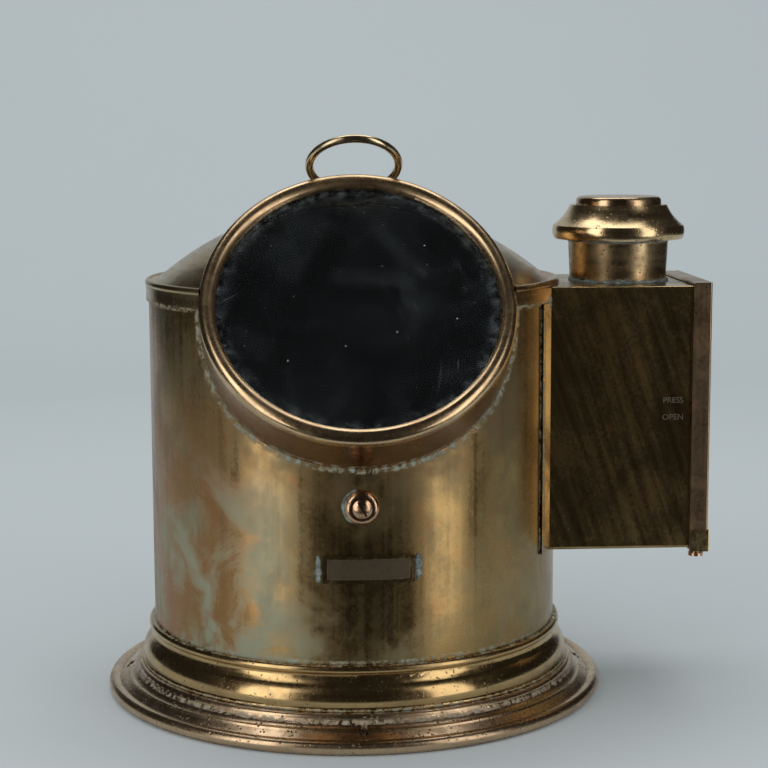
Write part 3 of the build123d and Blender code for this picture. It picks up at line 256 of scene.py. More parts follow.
def brass(name, gold, olive, red, cloud_size, rough, redness, oliveness, streaks=None, grain=0.004,
          pits=0.0, residue=None, shade_mask=None, black_inside=None, extra_red=None, extra_pale=None,
          aniso=0.0):
    """Build one brass.

    gold, olive and red are its three colours, and cloud_size is how far apart they drift, in
    millimetres. rough is the roughness where it is golden and where it is olive. grain and pits are
    the depths of the brushing and the pits in millimetres. redness and oliveness run from 0 to 1.
    streaks gives the space in which the brushing is drawn out. The others are masks, each a function
    of the paint.
    """
    paint = Paint(name)
    line_space = streaks(paint) if streaks else paint.position
    clouds = paint.noise(cloud_size, 5.0, 0.6, 0.6)
    patches = paint.noise(cloud_size * 0.45, 6.0, 0.65, 0.3, lift=31.0)
    fine = paint.noise(1.6, 5.0, 0.7, lift=9.0)
    brushing = paint.noise(0.55, 3.0, 0.6, at=line_space)
    wide_brushing = paint.noise(3.2, 4.0, 0.6, at=line_space, lift=5.0)
    olive_mask = clouds.step(0.52 - 0.3 * oliveness, 0.84 - 0.2 * oliveness)
    red_mask = patches.step(0.58 - 0.22 * redness, 0.86 - 0.16 * redness)
    if extra_red:
        red_mask = (red_mask + extra_red(paint)).math("MINIMUM", 1.0)
    colour = paint.mix(gold, olive, olive_mask)
    colour = paint.mix(colour, red, red_mask * 0.8)
    shade = (wide_brushing - 0.5) * 0.5 + (fine - 0.5) * 0.35 + 1.0
    colour = paint.mix((0.0, 0.0, 0.0), colour, shade.math("MINIMUM", 1.0))
    roughness = (wide_brushing - 0.5) * 0.3 + (fine - 0.5) * 0.2
    roughness = roughness + olive_mask * (rough[1] - rough[0]) + rough[0]
    metal = 1.0
    height = (brushing - 0.5) * grain * 2.0 + (clouds - 0.5) * 0.03
    if pits:
        holes = paint.cells(1.5).step(0.34, 0.12) * paint.noise(5.0, 2.0, lift=3.0).step(0.48, 0.62)
        height = height - holes * pits
        colour = paint.mix(colour, (0.06, 0.04, 0.025), holes * 0.7)
        roughness = roughness + holes * 0.25
    # Painted shade: darker, duller metal where the mask says shade falls, under the drum's hood and in the
    # number plate's sunk field.
    if shade_mask:
        shaded = shade_mask(paint)
        colour = paint.mix(colour, (0.045, 0.032, 0.02), shaded)
        roughness = roughness + shaded * 0.25
        metal = shaded * -0.5 + metal
    if extra_pale:
        pale = extra_pale(paint)
        colour = paint.mix(colour, (0.25, 0.27, 0.19), pale)
        roughness = roughness + pale * 0.3
        metal = pale * -0.55 + metal
    if residue:
        crust = residue(paint)
        broken = paint.noise(2.6, 6.0, 0.75, 0.4, lift=17.0).step(0.44, 0.62)
        crust = crust * broken
        colour = paint.mix(colour, (0.20, 0.25, 0.22), crust * 0.8)
        roughness = roughness + crust * 0.4
        metal = crust * -0.8 + metal
        height = height + crust * 0.06
    surface = paint.shader(Base_Color=colour, Metallic=metal, Roughness=roughness.math("MINIMUM", 1.0),
                           Normal=paint.bump(height), Anisotropic=aniso)
    if black_inside:
        soot = paint.noise(6.0, 4.0, lift=40.0)
        black = paint.shader(Base_Color=paint.mix((0.006, 0.006, 0.006), (0.018, 0.017, 0.015), soot),
                             Metallic=0.0, Roughness=0.85, Specular_IOR_Level=0.2)
        surface = paint.blend(surface, black, black_inside(paint))
    return paint.finish(surface)


print("the hood leans", HOOD_LEAN, "degrees, its axis passes", tuple(round(v, 1) for v in hood_centre))

# %% [markdown]
# ## Where the ageing sits
# On the real object, tarnish isn't even: copper red shows at the sides, pale green lies low on the
# drum where water stood, and grey flux is left along each soldered joint. It could be painted by hand
# on an unwrapped mesh. Masks in millimetres are used instead, since they stay true to the joints
# whatever the mesh is like.

# %% Masks for the drum, dome and hood
def drum_residue(paint):
    """Pale flux along the joints with the hood, the skirt, the dome's band and the lamp box."""
    radial, along, up = hood_radius(paint)
    front_half = paint.y.step(5.0, -5.0)
    hood_joint = radial.near(hood_outer + 0.6, 1.3) * along.step(0.0, -2.0) * front_half
    skirt_joint = paint.z.near(skirt_high.z + 0.7, 1.0)
    band_joint = paint.z.near(dome_low.z - 0.4, 0.9)
    beside_box = paint.z.step(box_low.z - 2.1, box_low.z + 0.4)
    box_joint = (paint.x - (box_low.x - 0.4)).abs().step(1.3, 0.4) * beside_box
    return (hood_joint + skirt_joint + band_joint * 0.8 + box_joint).math("MINIMUM", 1.0)


def drum_red(paint):
    """Copper red at both sides, and in patches low on the left."""
    sides = (paint.x * paint.x).step(70.0**2, 80.0**2) * 0.5
    sides = sides * paint.noise(30.0, 3.0, lift=60.0).step(0.35, 0.6)
    patches = paint.noise(24.0, 4.0, 0.6, 0.5, lift=77.0).step(0.34, 0.52)
    low_left = paint.x.step(-25.0, -60.0) * paint.z.step(140.0, 90.0)
    return patches * low_left * 0.8 + sides


def drum_pale(paint):
    """Pale green patina, thick low on the left and thin along the foot."""
    cloud = paint.noise(26.0, 5.0, 0.62, 0.7, lift=120.0).step(0.40, 0.66) * 0.9
    low_left = paint.x.step(-5.0, -50.0) * paint.z.step(120.0, 70.0)
    low_front = paint.z.step(70.0, 34.0) * 0.35
    return (cloud * (low_left * 0.9 + low_front)).math("MINIMUM", 0.85)


def drum_painted_shade(paint):
    """Painted shade under the hood and round the front screw's boss: darker, duller metal broken up with
    noise.
    """
    radial, along, up = hood_radius(paint)
    under_hood = radial.step(76.0, 61.0) * up.step(20.0, -30.0) * 0.45
    from_boss = paint.vector("DISTANCE", paint.position, (0.0, -drum_radius, screw_height))
    near_boss = from_boss.step(16.0, 5.0) * 0.5
    return (under_hood + near_boss) * paint.noise(9.0, 4.0, lift=50.0).step(0.2, 0.7)


def vertical(paint):
    """Lines that run up and down the drum."""
    return paint.vector("MULTIPLY", around(paint), (1.0, 1.0, 0.02))


def round_the_axis(paint):
    """Turning marks round the upright axis."""
    return paint.vector("MULTIPLY", around(paint), (0.012, 1.0, 1.0))


def round_the_hood(paint):
    """Turning marks round the hood's own axis."""
    radial, along, up = hood_radius(paint)
    angle = paint.x.math("ARCTAN2", up)
    return paint.join(angle * 0.9, radial, along)


def round_the_chimney(paint):
    """Turning marks round the chimney."""
    dx = paint.x - chimney_x
    angle = dx.math("ARCTAN2", paint.y)
    return paint.join(angle * 0.4, (dx * dx + paint.y * paint.y).math("SQRT"), paint.z)


def inside_drum(paint):
    """The drum's hollow side."""
    return paint.radius.step(drum_radius - 0.6, drum_radius - 0.9)


def inside_dome(paint):
    """The dome's hollow side: nearer its sphere's centre than the sheet, and above the band."""
    reach = paint.vector("DISTANCE", paint.position, (0.0, 0.0, 77.6))
    return reach.step(119.7, 119.4) * paint.z.step(dome_low.z + 4.0, dome_low.z + 5.1)


def inside_bezel(paint):
    """The part of the bezel that reaches down into the collar."""
    radial, along, up = hood_radius(paint)
    return radial.step(hood_outer - 1.25, hood_outer - 1.4) * along.step(-2.0, -2.4)


print("masks for the drum, dome and hood are defined")

# %% [markdown]
# ## Drum, dome, hood and bezel
# These are spun or rolled from sheet and were polished in lathe-like strokes. One recipe makes them
# all, and only the colours, the direction of the brushing and the masks change from node to node.

# %% Their finishes
finishes = {}
finishes["drum"] = brass(
    "drum_brass", gold=(0.33, 0.22, 0.09), olive=(0.235, 0.175, 0.085), red=(0.34, 0.15, 0.06),
    streaks=vertical, cloud_size=26.0, rough=(0.22, 0.34), grain=0.002, redness=0.25, oliveness=0.55,
    residue=drum_residue, shade_mask=drum_painted_shade, black_inside=inside_drum,
    extra_red=drum_red, extra_pale=drum_pale, aniso=0.3)
finishes["dome"] = brass(
    "dome_brass", gold=(0.44, 0.31, 0.15), olive=(0.34, 0.26, 0.14), red=(0.44, 0.22, 0.10),
    streaks=round_the_axis, cloud_size=22.0, rough=(0.22, 0.34), grain=0.003, redness=0.2,
    oliveness=0.5, residue=lambda paint: paint.z.near(dome_low.z + 0.3, 0.8),
    black_inside=inside_dome,
    extra_red=lambda paint: paint.x.step(62.0, 78.0) * 0.7)
finishes["hood_collar"] = brass(
    "collar_brass", gold=(0.36, 0.225, 0.11), olive=(0.27, 0.185, 0.10), red=(0.38, 0.17, 0.085),
    streaks=round_the_hood, cloud_size=14.0, rough=(0.18, 0.30), grain=0.003, redness=0.75,
    oliveness=0.45, residue=lambda paint: paint.radius.near(83.4, 1.0) * 0.8,
    black_inside=lambda paint: hood_radius(paint)[0].step(hood_outer - 0.5, hood_outer - 0.8))
finishes["bezel"] = brass(
    "bezel_brass", gold=(0.66, 0.48, 0.28), olive=(0.50, 0.36, 0.21), red=(0.56, 0.32, 0.19),
    streaks=round_the_hood, cloud_size=12.0, rough=(0.24, 0.36), grain=0.003, redness=0.55,
    oliveness=0.35,
    black_inside=inside_bezel)
print("drum, dome, hood:", len(finishes), "materials")

# %% [markdown]
# ## The base
# The flange is a casting with pits, and the skirt above it a turned moulding that shines more. Both
# take turning marks round the upright axis, so that the light breaks up as it does on turned brass.

# %% Base
def flange_residue(paint):
    """Two pale rings where the skirt stands on the flange, at the front only."""
    rings = paint.radius.near(skirt_high.x + 2.6, 0.7) + paint.radius.near(skirt_high.x + 0.2, 0.8)
    return rings * paint.y.step(20.0, -70.0)


def skirt_residue(paint):
    """Pale flux at the skirt's foot and along its top."""
    foot = paint.radius.near(skirt_high.x, 0.6) * paint.z.step(14.0, 13.0)
    return foot + paint.z.near(skirt_high.z, 0.5)


finishes["base_flange"] = brass(
    "flange_brass", gold=(0.60, 0.44, 0.28), olive=(0.44, 0.32, 0.20), red=(0.55, 0.33, 0.21),
    streaks=round_the_axis, cloud_size=16.0, rough=(0.24, 0.38), grain=0.006, pits=0.10, redness=0.55,
    oliveness=0.4,
    residue=flange_residue)
finishes["base_skirt"] = brass(
    "skirt_brass", gold=(0.52, 0.36, 0.165), olive=(0.38, 0.265, 0.13), red=(0.44, 0.24, 0.11),
    streaks=round_the_axis, cloud_size=16.0, rough=(0.17, 0.27), pits=0.03, redness=0.35,
    oliveness=0.4,
    residue=skirt_residue)
print("base:", [node for node in finishes if node.startswith("base")])

# %% [markdown]
# ## The lamp box
# The box is folded sheet with steep wiping scratches on its front. The door is duller and browner,
# and its small corner tab is the brightest brass on the object because hands rub it.

# %% Lamp box and door
def box_scratches(paint):
    """A space in which lines run steeply across the box's front."""
    return paint.join(paint.x + paint.z * 0.35, paint.y, paint.z * 0.06)


def box_residue(paint):
    """Pale flux where the box meets the drum, and along the near part of its top."""
    top_edge = paint.z.near(box_high.z + 0.1, 0.5) * paint.x.step(95.0, 80.0)
    return (paint.x.near(box_low.x + 0.6, 1.0) + top_edge).math("MINIMUM", 1.0)


finishes["lamp_box"] = brass(
    "box_brass", gold=(0.46, 0.33, 0.15), olive=(0.28, 0.18, 0.075), red=(0.40, 0.19, 0.08),
    streaks=box_scratches, cloud_size=20.0, rough=(0.18, 0.32), redness=0.25, oliveness=0.6,
    residue=box_residue)
finishes["door_panel"] = brass(
    "door_brass", gold=(0.40, 0.28, 0.17), olive=(0.30, 0.21, 0.13), red=(0.44, 0.25, 0.16),
    streaks=vertical, cloud_size=14.0, rough=(0.30, 0.44), grain=0.005, redness=0.6, oliveness=0.4)
for node in ("door_corner_tab", "catch_leaf"):
    finishes[node] = brass(
        "trim_brass_" + node, gold=(0.86, 0.64, 0.32), olive=(0.74, 0.54, 0.28),
        red=(0.66, 0.42, 0.22), cloud_size=8.0, rough=(0.18, 0.28), redness=0.3, oliveness=0.3)
print("lamp box and door:", [node for node in finishes if "box" in node or "door" in node])

# %% [markdown]
# ## The chimney
# The neck, the cap and the button are spun, and soot and heat have made them uneven. The marks go
# round their own axis, which stands beside the drum's.

# %% Chimney
cap_low, cap_high = corners("chimney_cap")


def neck_residue(paint):
    """Pale flux at the neck's foot and under its cap."""
    foot = paint.z.step(box_high.z + 2.6, box_high.z + 0.6)
    return foot + paint.z.step(cap_low.z - 2.0, cap_low.z)


finishes["chimney_neck"] = brass(
    "neck_brass", gold=(0.44, 0.33, 0.18), olive=(0.30, 0.24, 0.14), red=(0.48, 0.26, 0.13),
    streaks=round_the_chimney, cloud_size=9.0, rough=(0.28, 0.44), grain=0.006, pits=0.03,
    redness=0.55, oliveness=0.5,
    residue=neck_residue)
finishes["chimney_cap"] = brass(
    "cap_brass", gold=(0.70, 0.52, 0.29), olive=(0.52, 0.39, 0.22), red=(0.56, 0.33, 0.19),
    streaks=round_the_chimney, cloud_size=9.0, rough=(0.22, 0.34), grain=0.010, pits=0.05, redness=0.4,
    oliveness=0.35)
finishes["cap_button"] = brass(
    "button_brass", gold=(0.56, 0.40, 0.24), olive=(0.40, 0.30, 0.18), red=(0.54, 0.31, 0.19),
    streaks=round_the_chimney, cloud_size=8.0, rough=(0.22, 0.36), grain=0.005, pits=0.03, redness=0.6,
    oliveness=0.4, residue=lambda paint: paint.z.near(cap_high.z + 0.1, 0.5) * paint.x.step(100.0, 92.0))
print("chimney:", [node for node in finishes if node.startswith(("chimney", "cap"))])

# %% [markdown]
# ## Ring, boss and plate
# The carrying ring is drawn wire. The number plate has a sunk field, which a mask darkens as painted shade
# so that its raised rim reads as a frame.

# %% Small brass
plate_low, plate_high = corners("number_plate")


def plate_field_shade(paint):
    """The sunk field of the number plate, darkened nearly black as painted shade."""
    middle = (plate_low + plate_high) / 2
    within_width = (paint.x - middle.x).abs().step(15.6, 15.2)
    within_height = (paint.z - middle.z).abs().step(4.0, 3.6)
    return within_width * within_height * 0.93


finishes["carrying_ring"] = brass(
    "ring_brass", gold=(0.72, 0.58, 0.36), olive=(0.56, 0.45, 0.28), red=(0.6, 0.38, 0.22),
    cloud_size=10.0, rough=(0.20, 0.32), redness=0.2, oliveness=0.4)
finishes["pivot_bosses"] = brass(
    "boss_brass", gold=(0.58, 0.38, 0.24), olive=(0.42, 0.29, 0.18), red=(0.56, 0.30, 0.19),
    cloud_size=6.0, rough=(0.2, 0.34), grain=0.006, pits=0.03, redness=0.7, oliveness=0.4,
    residue=lambda paint: paint.x.step(-1.5, -4.5) * paint.y.step(-86.5, -85.0))
finishes["number_plate"] = brass(
    "plate_brass", gold=(0.56, 0.41, 0.20), olive=(0.40, 0.31, 0.16), red=(0.46, 0.25, 0.12),
    cloud_size=7.0, rough=(0.15, 0.26), grain=0.008, pits=0.03, redness=0.3, oliveness=0.5,
    shade_mask=plate_field_shade)
print("small brass with a finish of its own:", 3)

# %% [markdown]
# ## Sharing finishes
# Two dozen small nodes would look the same with a finish each. A table names which node lends its
# material to which, and two more brasses serve the compass and the lamp.

# %% Finishes that several nodes share
shared = {
    "pivot_bosses": ["pivot_screws", "door_stud", "pivot_nuts"],
    "carrying_ring": ["ring_lug", "window_retainer"],
    "lamp_box": ["light_frame", "vent_ring", "box_hinge", "door_hinge", "hinge_pin",
                 "catch_rivets", "lamp_guides"],
}
for source, users in shared.items():
    for node in users:
        finishes[node] = finishes[source]
instrument = brass(
    "instrument_brass", gold=(0.74, 0.56, 0.28), olive=(0.62, 0.47, 0.24), red=(0.6, 0.38, 0.2),
    cloud_size=14.0, rough=(0.2, 0.3), grain=0.003, redness=0.1, oliveness=0.3)
lamp_metal = brass(
    "lamp_brass", gold=(0.66, 0.49, 0.26), olive=(0.50, 0.38, 0.21), red=(0.52, 0.32, 0.18),
    cloud_size=12.0, rough=(0.24, 0.36), redness=0.3, oliveness=0.5)
for node in ("gimbal_ring", "bowl_screws", "bowl_bezel", "card_cap"):
    finishes[node] = instrument
for node in ("oil_font", "burner", "filler_neck", "filler_cap", "lamp_loop", "wick_tube",
             "wick_spindle", "wick_wheel", "wick_knob"):
    finishes[node] = lamp_metal
print("brass so far covers", len(finishes), "nodes")

# %% [markdown]
# ## Everything that isn't brass
# The window is clear glass with a film of dust, specks and the fine arcs that wiping leaves.

# %% Glass
def clear_glass(name, dusty):
    """Glass, with a film of haze, specks and wiping marks over it if it is dusty."""
    paint = Paint(name)
    glass = paint.shader(Base_Color=(0.72, 0.80, 0.82), Roughness=0.01, IOR=1.45,
                         Transmission_Weight=1.0)
    if not dusty:
        return paint.finish(glass)
    radial, along, up = hood_radius(paint)
    haze = paint.noise(26.0, 5.0, 0.6, 0.8).step(0.40, 0.85) * 0.026 + 0.006
    specks = paint.cells(3.1).step(0.085, 0.03) * paint.noise(1.9, 2.0, lift=8.0).step(0.5, 0.62)
    coarse = paint.cells(11.0).step(0.045, 0.02)
    beside = paint.x + 34.0
    above = up + 20.0
    sweep = (beside * beside + above * above).math("SQRT")
    sweep_angle = beside.math("ARCTAN2", above)
    wiping = paint.noise(0.9, 3.0, 0.7, at=paint.join(sweep_angle * 1.2, sweep, 0.0)).step(0.60, 0.80)
    wiping = wiping * paint.noise(17.0, 3.0, 0.6, lift=23.0).step(0.48, 0.66)
    slanting = paint.join(paint.x * 0.06 + up * 0.35, up * 0.05 - paint.x * 0.3, 1.0)
    second = paint.noise(1.1, 3.0, 0.7, at=slanting)
    second = second.step(0.64, 0.78) * paint.noise(20.0, 3.0, lift=64.0).step(0.52, 0.68)
    edge = radial.step(48.0, 53.8) * paint.noise(4.0, 5.0, 0.7).step(0.42, 0.74) * 0.16
    film = haze + specks * 0.55 + coarse * 0.45 + wiping * 0.24 + second * 0.18 + edge
    film = film.math("MINIMUM", 0.9)
    dust = paint.shader(Base_Color=(0.42, 0.47, 0.50), Roughness=0.8, Metallic=0.0)
    return paint.finish(paint.blend(glass, dust, film))


finishes["window_glass"] = clear_glass("dusty_window_glass", True)
finishes["bowl_glass"] = clear_glass("compass_glass", False)
finishes["light_glass"] = finishes["bowl_glass"]
print("glass: 2 materials")


# %% [markdown]
# ## The plainer stuff
# Each of these drifts between a dark and a light tone with a fine relief. A small recipe is enough
# where nobody looks from near.

# %% Paint, putty, steel, lead, card and cotton
def plain(name, dark, light, size, rough, metal=0.0, relief=0.05, stretch=None):
    """A finish that drifts between two colours, with a fine relief in millimetres."""
    paint = Paint(name)
    at = paint.stretched(*stretch) if stretch else None
    clouds = paint.noise(size, 5.0, 0.6, 0.3, at=at)
    fine = paint.noise(size * 0.12, 4.0, 0.6, at=at, lift=12.0)
    return paint.finish(paint.shader(
        Base_Color=paint.mix(dark, light, (clouds * 0.6 + fine * 0.4).step(0.3, 0.7)), Metallic=metal,
        Roughness=(fine - 0.5) * 0.2 + rough,
        Normal=paint.bump((fine - 0.5) * relief + (clouds - 0.5) * relief)))


black_enamel = plain(
    "bowl_enamel", (0.008, 0.008, 0.008), (0.02, 0.02, 0.019), 10.0, rough=0.5, relief=0.03)
steel = plain(
    "old_steel", (0.30, 0.30, 0.31), (0.5, 0.5, 0.52), 6.0, rough=0.3, metal=1.0, relief=0.01,
    stretch=(1.0, 0.05, 1.0))
finishes["compass_bowl"] = black_enamel
finishes["lubber_line"] = black_enamel
finishes["bowl_weight"] = plain(
    "cast_lead", (0.16, 0.16, 0.17), (0.30, 0.30, 0.32), 8.0, rough=0.6, metal=0.8, relief=0.2)
finishes["card_pivot"] = steel
finishes["card_magnets"] = steel
finishes["window_seal"] = plain(
    "putty", (0.05, 0.045, 0.04), (0.10, 0.095, 0.085), 3.0, rough=0.8, relief=0.2)
finishes["compass_card"] = plain(
    "card_face", (0.66, 0.62, 0.50), (0.78, 0.75, 0.65), 22.0, rough=0.6, relief=0.01)
finishes["lamp_reflector"] = plain(
    "tinned_reflector", (0.62, 0.62, 0.60), (0.80, 0.80, 0.78), 9.0, rough=0.16, metal=1.0,
    relief=0.02)
finishes["wick"] = plain(
    "woven_cotton", (0.52, 0.48, 0.38), (0.80, 0.76, 0.64), 0.7, rough=0.9, relief=0.25,
    stretch=(1.0, 1.0, 0.45))
for node, material in finishes.items():
    slots = nodes[node].data.materials
    if not slots:
        slots.append(material)
    for place in range(len(slots)):
        slots[place] = material
print("without a finish:", sorted(set(nodes) - set(finishes)))

# %% [markdown]
# ## Solder and flux
# The joints were soldered by hand. Where solder was heaped up it stands proud as lumps, so those
# are pieces of their own; thin residue is in the materials.


# %% Solder lumps
def solder_material():
    """Grey solder under a green crust of flux."""
    paint = Paint("solder_crust")
    clouds = paint.noise(2.4, 6.0, 0.7, 0.4)
    grains = paint.noise(0.6, 4.0, 0.7, lift=3.0)
    colour = paint.mix((0.09, 0.10, 0.09), (0.26, 0.31, 0.29), clouds.step(0.38, 0.66))
    return paint.finish(paint.shader(Base_Color=colour, Metallic=0.35, Roughness=(grains - 0.5) * 0.3 + 0.5,
                                     Normal=paint.bump(grains * 0.25 + clouds * 0.3)))


solder = solder_material()


def add_piece(name, mesh, material, body):
    """Put a finished bmesh into the scene as a piece that rides on a body."""
    bmesh.ops.recalc_face_normals(mesh, faces=mesh.faces)
    data = bpy.data.meshes.new(name)
    mesh.to_mesh(data)
    mesh.free()
    data.materials.append(material)
    piece = bpy.data.objects.new(name, data)
    bpy.context.scene.collection.objects.link(piece)
    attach(piece, body)
    return piece


def lumpy_bead(points, size, facing, seed):
    """An uneven bead of solder along points (mm).

    size is its mean half-width, and facing gives the way that a point's surface faces.
    """
    dice = random.Random(seed)
    mesh = bmesh.new()
    sides = 10
    rings = []
    count = len(points)
    for place, point in enumerate(points):
        ahead = points[min(place + 1, count - 1)] - points[max(place - 1, 0)]
        ahead.normalize()
        outward = facing(point)
        across = ahead.cross(outward).normalized()
        outward = across.cross(ahead).normalized()
        taper = math.sin(math.pi * (place + 0.6) / (count + 0.2)) ** 0.5
        width = size * taper * dice.uniform(0.55, 1.45)
        height = width * dice.uniform(0.35, 0.8)
        ring = []
        for side in range(sides):
            turn = 2 * math.pi * side / sides
            offset = across * (width * math.cos(turn)) + outward * (height * math.sin(turn))
            ring.append(mesh.verts.new((point + offset) * MM))
        rings.append(ring)
    for low, high in zip(rings, rings[1:]):
        for side in range(sides):
            after = (side + 1) % sides
            mesh.faces.new((low[side], low[after], high[after], high[side]))
    mesh.faces.new(list(reversed(rings[0])))
    mesh.faces.new(rings[-1])
    bmesh.ops.subdivide_edges(mesh, edges=mesh.edges, cuts=1, smooth=1.0, use_grid_fill=True)
    for face in mesh.faces:
        face.smooth = True
    return mesh


def away_from_drum(point):
    """The way that the drum's wall faces at a point."""
    return Vector((point.x, point.y, 0.0)).normalized()


def on_drum(angle, height, lift=0.0):
    """A point on the drum's wall: angle in degrees from straight front towards +X."""
    turn = math.radians(angle)
    reach = drum_radius + lift
    return Vector((reach * math.sin(turn), -reach * math.cos(turn), height))


lumps = []
for side, edge in (("left", plate_low.x), ("right", plate_high.x)):
    outside = -1 if side == "left" else 1
    angle = math.degrees(math.asin(edge / drum_radius)) + 1.0 * outside
    points = [on_drum(angle, plate_low.z + (plate_high.z - plate_low.z) * step / 8, 0.1)
              for step in range(9)]
    lumps.append(("solder_plate_" + side, points, 1.5))
boss_reach = 6.6
points = []
for turn in (math.radians(degrees) for degrees in range(185, 361, 16)):
    angle = math.degrees(math.asin(math.sin(turn) * boss_reach / drum_radius))
    points.append(on_drum(angle, screw_height + boss_reach * math.cos(turn), 0.1))
lumps.append(("solder_boss", points, 0.8))
points = [Vector((76.5, -32.6, 163.0 - 0.8 * step)) for step in range(8)]
lumps.append(("solder_box_top", points, 1.1))
for name, points, size in lumps:
    add_piece(name, lumpy_bead(points, size, away_from_drum, name), solder, "binnacle")
print("solder on the drum:", [name for name, points, size in lumps])


# %% [markdown]
# ## Solder on the neck
# The neck is soldered to the box all round its foot and has a thinner bead under its cap. The same
# bead maker runs it round a circle, with the surface facing away from the chimney's axis.

# %% Solder round the chimney
def away_from_chimney(point):
    """The way that the chimney's wall faces at a point."""
    return Vector((point.x - chimney_x, point.y, 0.0)).normalized()


neck_beads = (("solder_neck_foot", 19.9, 166.1, 0.9), ("solder_neck_head", 20.4, 182.4, 0.5))
for name, reach, height, size in neck_beads:
    points = []
    for turn in (math.radians(degrees) for degrees in range(-170, 171, 6)):
        points.append(Vector((chimney_x + reach * math.sin(turn), -reach * math.cos(turn), height)))
    add_piece(name, lumpy_bead(points, size, away_from_chimney, name), solder, "binnacle")
print("solder pieces:", len(lumps) + len(neck_beads))

# %% [markdown]
# ## Marks
# The catch has two plain words beside it, and the compass card its points and degrees.


# %% Letters
def flat_paint(name, colour):
    """Thin worn paint or ink."""
    paint = Paint(name)
    wear = paint.noise(2.0, 4.0, 0.6).step(0.3, 0.8)
    return paint.finish(paint.shader(
        Base_Color=paint.mix(colour, tuple(min(1.0, c * 1.8 + 0.01) for c in colour), wear),
        Roughness=0.6, Metallic=0.0))


def letters(name, words, size, thickness, place, material, body):
    """Thin letters; size and thickness in millimetres, place the matrix that stands them up."""
    curve = bpy.data.curves.new(name, "FONT")
    curve.body = words
    curve.size = size * MM
    curve.align_x = "CENTER"
    curve.align_y = "CENTER"
    curve.extrude = thickness * MM / 2
    holder = bpy.data.objects.new(name + "_curve", curve)
    bpy.context.scene.collection.objects.link(holder)
    bpy.context.view_layer.update()
    shaped = holder.evaluated_get(bpy.context.evaluated_depsgraph_get())
    data = bpy.data.meshes.new_from_object(shaped)
    bpy.data.objects.remove(holder)
    data.transform(place)
    mesh = bmesh.new()
    mesh.from_mesh(data)
    bmesh.ops.remove_doubles(mesh, verts=mesh.verts, dist=1e-7)
    return add_piece(name, mesh, material, body)


print("letters are made from Blender's own font")


# %% Card letters
ink = flat_paint("card_ink", (0.012, 0.012, 0.014))
card_low, card_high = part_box("compass_card")
card_top = card_high.z + 0.06 * MM
card_outer = card_high.x / MM
facing_up = Matrix.Translation((0, 0, card_top))
for word, angle in (("N", 0), ("E", 90), ("S", 180), ("W", 270)):
    turn = Matrix.Rotation(math.radians(-angle), 4, "Z")
    letters("card_" + word, word, 9.0, 0.1, facing_up @ turn @ Matrix.Translation((0, 36 * MM, 0)), ink,
            "compass_card")


print("card letters: N, E, S, W,", round(card_outer, 1), "mm card")


# %% [markdown]
# ## The card's ring of degrees
# A printed card could use an image. Thin prisms are sharper at any distance, and being pieces that
# ride on the card they turn with it.

# %% Card rose and degrees
def card_marks():
    """Degree ring, ticks and an eight-pointed rose, 0.1 mm thick."""
    mesh = bmesh.new()
    half = 0.05 * MM

    def prism(outline):
        low = [mesh.verts.new((x * MM, y * MM, card_top - half)) for x, y in outline]
        high = [mesh.verts.new((x * MM, y * MM, card_top + half)) for x, y in outline]
        mesh.faces.new(list(reversed(low)))
        mesh.faces.new(high)
        for place in range(len(outline)):
            after = (place + 1) % len(outline)
            mesh.faces.new((low[place], low[after], high[after], high[place]))

    def polar(reach, degrees):
        return (reach * math.sin(math.radians(degrees)), reach * math.cos(math.radians(degrees)))

    for degree in range(0, 360, 2):
        inner = card_outer - (5.0 if degree % 10 == 0 else 2.6)
        half_width = 0.35 if degree % 10 == 0 else 0.22
        spread = math.degrees(half_width / card_outer)
        prism([polar(inner, degree - spread), polar(card_outer - 0.8, degree - spread),
               polar(card_outer - 0.8, degree + spread), polar(inner, degree + spread)])
    for point in range(8):
        angle = point * 45
        reach = 28.0 if point % 2 == 0 else 19.0
        base = 6.0 if point % 2 == 0 else 5.0
        prism([polar(5.2, angle), polar(base, angle + 22.5), polar(reach, angle)])
    return mesh


add_piece("card_rose", card_marks(), ink, "compass_card")
print("card rose: 8 points and 180 ticks")

# %% [markdown]
# ## Words by the catch
# Two short words are cut beside the slit of the catch. Cutting them out of the box would change the
# packed model, so they are thin dark letters that stand 0.08 mm proud and read the same.

# %% Words by the catch
legend_ink = flat_paint("legend_cut", (0.045, 0.038, 0.022))
legend_x = 126.2
letters_y = -32.04                     # the middle of the letters' thickness
upright = Matrix.Rotation(math.radians(90), 4, "X")
for word, height in (("PRESS", 120.2), ("OPEN", 113.4)):
    place = Matrix.Translation((legend_x * MM, letters_y * MM, height * MM)) @ upright
    letters("legend_" + word, word, 3.3, 0.08, place, legend_ink, "binnacle")
print("marks: 4 card letters, the rose and 2 words")

# %% [markdown]
# ## Studio
# Two tall softboxes, one each side of the camera, and darkness behind it: that is what gives the
# metal its two bright bands with a dark front between them.

